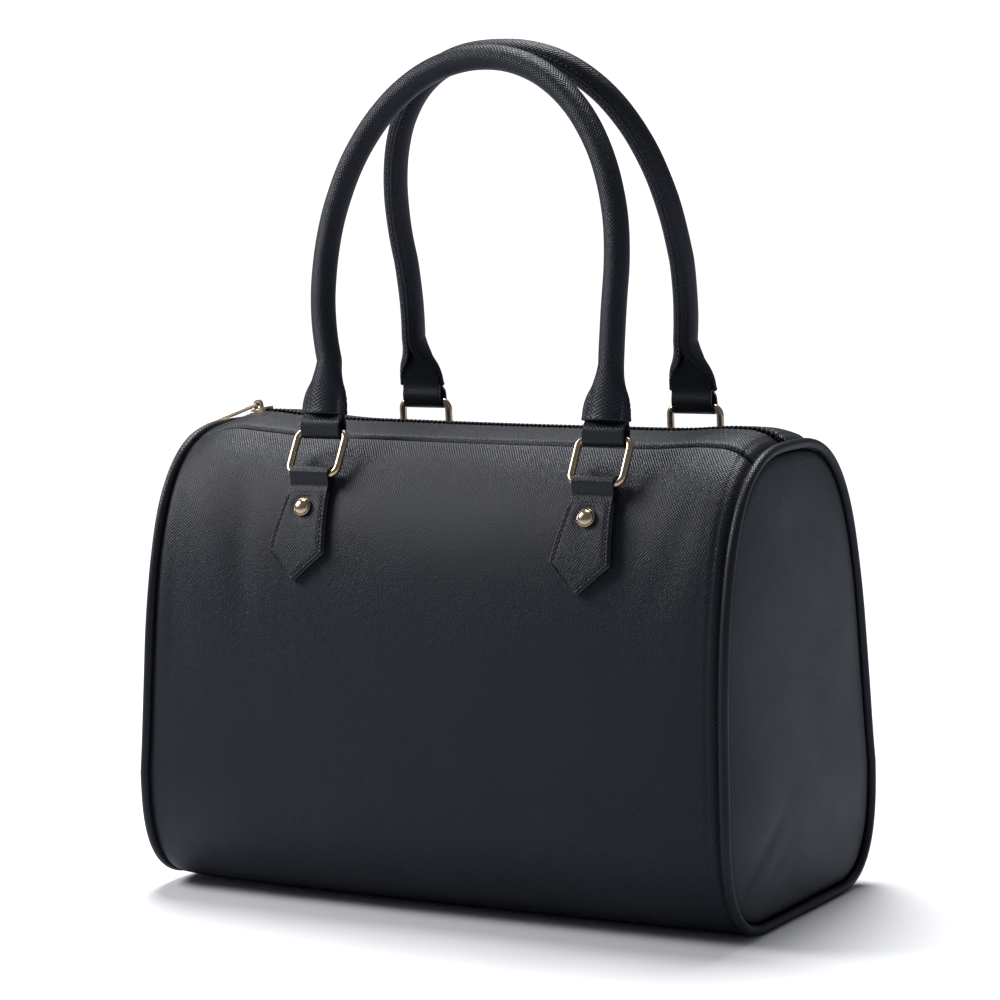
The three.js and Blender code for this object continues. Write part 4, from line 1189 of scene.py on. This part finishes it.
class Handle:
    """A rolled handle's surface: places round and along it give points, in millimetres."""

    def __init__(self, handle):
        half = handle_line(handle)
        line = half + [(-a, *rest) for a, *rest in reversed(half[:-1])]
        self.run = Run([(a + sideways, r, 0) for a, r, _, _, sideways in line])
        self.flat = [row[2] for row in line]
        self.shift = [row[3] for row in line]
        self.up, self.out = handle_axes(handle)
        bars = [Fixing(handle, hand).top_bar for hand in (-1, 1)]
        self.centre = (bars[0] + bars[1]) / 2

    def opening(self, distance):
        """How far round each edge of the leather reaches, in half turns: 1 meets the other."""
        from_end = min(distance, self.run.total - distance)
        return 0.635 + 0.365 * ease((from_end + 1) / (HOOD_LENGTH * 0.98))

    def spot(self, turn, distance, lift=0.0):
        """turn is 0 on the outer side and -1 or 1 at the seam on the inner side."""
        at = self.run.at(distance)
        along = self.run.along(distance, 2.0)
        flat = float(np.interp(distance, self.run.lengths, self.flat))
        shift = float(np.interp(distance, self.run.lengths, self.shift))
        if flat > 0.97:
            along = Vector((0, math.copysign(1, along.y), 0))
        wide = Vector((along.y, 0, 0)) - self.up * along.x
        width = HANDLE_DIAMETER / 2 + (HOOD_WIDTH - HANDLE_DIAMETER) / 2 * flat
        depth = HANDLE_DIAMETER / 2 + (HOOD_DEPTH - HANDLE_DIAMETER) / 2 * flat
        angle = math.pi * turn
        middle = self.centre + Vector((at.x, 0, 0)) + self.up * at.y + self.out * shift * HOOD_SHIFT
        across, rise = math.sin(angle) * width, math.cos(angle) * depth
        if rise > 0:
            ridge = HOOD_RIDGE / 2
            high = depth * math.sqrt(max(0, 1 - (across / ridge) ** 2))
            wing = HOOD_WING * min(1, (1 - abs(across) / width) * 5) ** 0.5
            rise += flat * (math.hypot(high, wing) - rise)
        return (middle + wide * (across + math.sin(angle) * lift)
                + self.out * (rise + math.cos(angle) * lift))


class BAG_OT_handles(bpy.types.Operator):
    """Make the rolled handles, open on their inner side at both ends"""
    bl_idname = "bag.handles"
    bl_label = "Handles"

    def execute(self, context):
        for name, settings in HANDLES.items():
            handle = Handle(settings)
            total = handle.run.total

            def place(u, v):
                distance = total * (gather(v, 0.5) + 1) / 2
                reach = handle.opening(distance)
                turn = gather(u, 0.45) * reach * 0.996
                from_edge = (1 - abs(gather(u, 0.45))) * reach * math.pi * HANDLE_DIAMETER / 2
                from_end = min(distance, total - distance)
                lip = 0.55 * math.exp(-((from_edge - 0.9) / 0.8) ** 2)
                lip += 0.35 * math.exp(-((from_end - 0.9) / 0.9) ** 2)
                lip -= 0.3 * math.exp(-((from_edge - 2.6) / 0.7) ** 2)
                pulled = 0.12 * noise.noise(Vector((distance / 16, turn * 3, 2.2)))
                return (handle.spot(turn, distance, lip + pulled),
                        (turn * math.pi * HANDLE_DIAMETER / 2, distance))

            leather = lay_grid(f"handle_{name}_leather", 48, 300, place)
            face_away(leather, handle.centre + handle.up * HANDLE_RISE, 30)
            thicken(leather, STRAP_LAYER)
            dress(leather, "bag", "leather_black", f"handle_{name}", smooth=60,
                  material=body_leather())
        return {"FINISHED"}


# --- sewing


# How far in from their leather's edge the rows of stitches run
ZIP_STITCH_IN, TAB_STITCH_IN, HANDLE_STITCH_IN = 3, 2.2, 2.7


def stitches_along(run, out_at, pitch):
    """Placings of stitches along a run; out_at gives the outward direction there."""
    placings = []
    count = max(1, int(run.total / pitch))
    for i in range(count):
        distance = (i + 0.5) * run.total / count
        along, out = run.along(distance), out_at(distance)
        side = out.cross(along).normalized()
        out = along.cross(side).normalized()
        turn = Matrix((along, side, out)).transposed().to_4x4()
        placings.append(Matrix.Translation(run.at(distance) * MM) @ turn)
    return placings


class BAG_OT_sewing(bpy.types.Operator):
    """Sew the rows of stitches beside the zip, round the tabs and up the handles"""
    bl_idname = "bag.sewing"
    bl_label = "Stitching"

    def execute(self, context):
        shape = context.scene.bag_shape
        pitch, thread = shape.stitch / MM, shape.thread / MM
        placings = {"front": [], "back": []}
        for name, side in (("front", FRONT), ("back", BACK)):
            spots = []
            for i in range(201):
                x = round((SHELL_HALF - 3) * (i / 100 - 1), 3)
                section = shell_section(x)
                distance = section.where_top_depth(ZIP_OPENING / 2 + ZIP_STITCH_IN)
                spots.append(lean_in(section.spot(side, x, distance, -0.25)))
            placings[name] += stitches_along(Run(spots), lambda d: Vector((0, 0, 1)), pitch)
        for _, fixing in fixings():
            start, corner, tip = TAB_DOWN
            top = CLEARANCE + TAB_THICKNESS - 0.25
            outline = []
            for sign in (-1, 1):
                edge = []
                for i in range(25):
                    down = start + 0.02 + (corner - start - 0.04) * i / 24
                    half = tab_half(down) - TAB_STITCH_IN
                    x = fixing.x + sign * half + fixing.hang(down * TAB_LENGTH)
                    edge.append(fixing.on_panel(x, down * TAB_LENGTH, top))
                outline.append(edge)
                point = []
                half = TAB_WIDTH / 2 - TAB_STITCH_IN
                for i in range(13):
                    t = i / 12
                    down = corner * TAB_LENGTH - 0.8 + ((tip - corner) * TAB_LENGTH - 1.6) * t
                    x = fixing.x + sign * half * (1 - t) + fixing.hang(down)
                    point.append(fixing.on_panel(x, down, top))
                outline.append(point)
            crosswise = []
            for i in range(9):
                across = (i / 8 - 0.5) * (STRAP_WIDTH - 3.5)
                crosswise.append(fixing.on_panel(fixing.x + across, start * TAB_LENGTH + 1.2,
                                                 top + 0.15))
            outline.append(crosswise)
            out = fixing.section.direction(fixing.side, fixing.seat - TAB_LENGTH / 2)
            for edge in outline:
                placings["front" if fixing.side == FRONT else "back"] += stitches_along(
                    Run(edge), lambda d: out, pitch * 0.85)
        for name, settings in HANDLES.items():
            handle = Handle(settings)
            total = handle.run.total
            for sign in (-1, 1):
                spots, outs = [], []
                for i in range(301):
                    distance = 4 + (total - 8) * i / 300
                    reach = handle.opening(distance)
                    turn = sign * (reach - HANDLE_STITCH_IN / (math.pi * HANDLE_DIAMETER / 2))
                    spots.append(handle.spot(turn, distance, -0.1))
                    outs.append((handle.spot(turn, distance, 1) - handle.spot(turn, distance, -1))
                                .normalized())
                run = Run(spots)

                def out_at(d):
                    i = int(np.interp(d, run.lengths, range(len(outs))))
                    return outs[i]

                placings[name] += stitches_along(run, out_at, pitch)
        for name, rows in placings.items():
            stitch = primitive(bpy.ops.mesh.primitive_uv_sphere_add, segments=8, ring_count=6,
                               radius=1)
            edit(stitch, (bpy.ops.transform.resize, {
                "value": (pitch * 0.4 * MM, thread / 2 * MM, thread / 2 * MM),
                "center_override": (0, 0, 0)}))
            sewn = repeat(f"stitching_{name}", stitch, rows)
            sewn.data.materials.append(sewing_thread())
            only(sewn)
            bpy.ops.object.shade_smooth()
            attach(sewn, "bag")
        return {"FINISHED"}


# --- stage


class BAG_OT_stage(bpy.types.Operator):
    """Set the pale floor, the soft lights and the camera"""
    bl_idname = "bag.stage"
    bl_label = "Stage"

    def execute(self, context):
        look = context.scene.bag_stage
        floor = primitive(bpy.ops.mesh.primitive_plane_add, size=30)
        floor.name = "floor"
        material = new_material("matt_studio_floor")
        specks = speckle(material, lies_at(material), 300.0, 2.0)
        shader = add_node(material, "ShaderNodeBsdfPrincipled",
                          {"Base Color": opaque(look.floor), "Roughness": 0.75,
                           "Normal": relief(material, specks, 0.02, 0.0002),
                           "Specular IOR Level": 0.2})
        # The floor gives the bag less light back than it shows the camera, as dark cards do
        dim = add_node(material, "ShaderNodeBsdfDiffuse", {"Color": (0.48, 0.5, 0.56, 1)})
        seen = add_node(material, "ShaderNodeLightPath").outputs["Is Camera Ray"]
        chosen = add_node(material, "ShaderNodeMixShader", {
            0: seen, 1: dim.outputs["BSDF"], 2: shader.outputs["BSDF"]})
        add_node(material, "ShaderNodeOutputMaterial", {"Surface": chosen.outputs["Shader"]})
        floor.data.materials.append(material)

        aim = Vector((0, 0, 0.2))
        lights = (("key_light", (-1.05, -0.45, 0.95), 0.6, look.key),
                  ("fill_light", (1.7, -0.5, 0.7), 1.0, look.fill))
        for name, place, size, power in lights:
            light = primitive(bpy.ops.object.light_add, type="AREA", location=place)
            light.name = name
            light.rotation_euler = (aim - Vector(place)).to_track_quat("-Z", "Y").to_euler()
            light.data.shape = "SQUARE"
            light.data.size = size
            light.data.energy = power
        light = primitive(bpy.ops.object.light_add, type="SUN", location=(0, 0, 2))
        light.name = "overhead_light"
        light.rotation_euler = (math.radians(-19), math.radians(-12), 0)
        light.data.angle = math.radians(28)
        light.data.energy = look.top

        world = bpy.data.worlds.new("pale_room")
        world.use_nodes = True
        context.scene.world = world
        background = world.node_tree.nodes["Background"]
        background.inputs["Color"].default_value = (0.86, 0.9, 1.0, 1)
        background.inputs["Strength"].default_value = look.room
        white = add_node(world, "ShaderNodeBackground", {"Color": (1, 1, 1, 1), "Strength": 1.2})
        seen = add_node(world, "ShaderNodeLightPath").outputs["Is Camera Ray"]
        chosen = add_node(world, "ShaderNodeMixShader", {
            0: seen, 1: background.outputs["Background"], 2: white.outputs["Background"]})
        world.node_tree.links.new(chosen.outputs["Shader"],
                                  world.node_tree.nodes["World Output"].inputs["Surface"])

        yaw, pitch, roll = (math.radians(a) for a in (29.67, 6.39, -1.42))
        ahead = Vector((-math.sin(yaw) * math.cos(pitch), math.cos(yaw) * math.cos(pitch),
                        -math.sin(pitch)))
        level = Vector((math.cos(yaw), math.sin(yaw), 0))
        upright = level.cross(ahead)
        right = level * math.cos(roll) + upright * math.sin(roll)
        camera = bpy.data.objects.new("camera", bpy.data.cameras.new("camera"))
        context.scene.collection.objects.link(camera)
        turn = Matrix((right, right.cross(ahead), -ahead)).transposed().to_4x4()
        camera.matrix_world = Matrix.Translation((0.8732, -1.5326, 0.4018)) @ turn
        camera.data.lens = look.lens
        camera.data.sensor_width = 36
        camera.data.clip_start, camera.data.clip_end = 0.05, 60
        context.scene.camera = camera
        context.scene.view_settings.view_transform = "Standard"
        return {"FINISHED"}


class BAG_PT_panel(bpy.types.Panel):
    """Boston bag"""
    bl_idname = "BAG_PT_panel"
    bl_label = "Boston bag"
    bl_space_type = "VIEW_3D"
    bl_region_type = "UI"
    bl_category = "Bag"

    def draw(self, context):
        for group in ("bag_shape", "bag_leather", "bag_fittings", "bag_stage"):
            box = self.layout.box()
            for name in getattr(context.scene, group).__annotations__:
                box.prop(getattr(context.scene, group), name)
        for operator in OPERATORS:
            self.layout.operator(operator.bl_idname)


GROUPS = {"bag_shape": BagShape, "bag_leather": BagLeather, "bag_fittings": BagFittings,
          "bag_stage": BagStage}
OPERATORS = (BAG_OT_panels, BAG_OT_ends, BAG_OT_zip, BAG_OT_tabs, BAG_OT_metalwork,
             BAG_OT_straps, BAG_OT_handles, BAG_OT_sewing, BAG_OT_stage)


def register():
    for name, group in GROUPS.items():
        bpy.utils.register_class(group)
        setattr(bpy.types.Scene, name, PointerProperty(type=group))
    for operator in OPERATORS:
        bpy.utils.register_class(operator)
    bpy.utils.register_class(BAG_PT_panel)


def unregister():
    bpy.utils.unregister_class(BAG_PT_panel)
    for operator in reversed(OPERATORS):
        bpy.utils.unregister_class(operator)
    for name, group in GROUPS.items():
        delattr(bpy.types.Scene, name)
        bpy.utils.unregister_class(group)


def main():
    register()
    bpy.ops.bag.panels()
    bpy.ops.bag.ends()
    bpy.ops.bag.zip()
    bpy.ops.bag.tabs()
    bpy.ops.bag.metalwork()
    bpy.ops.bag.straps()
    bpy.ops.bag.handles()
    bpy.ops.bag.sewing()
    bpy.ops.bag.stage()


if __name__ == "__main__":
    main()
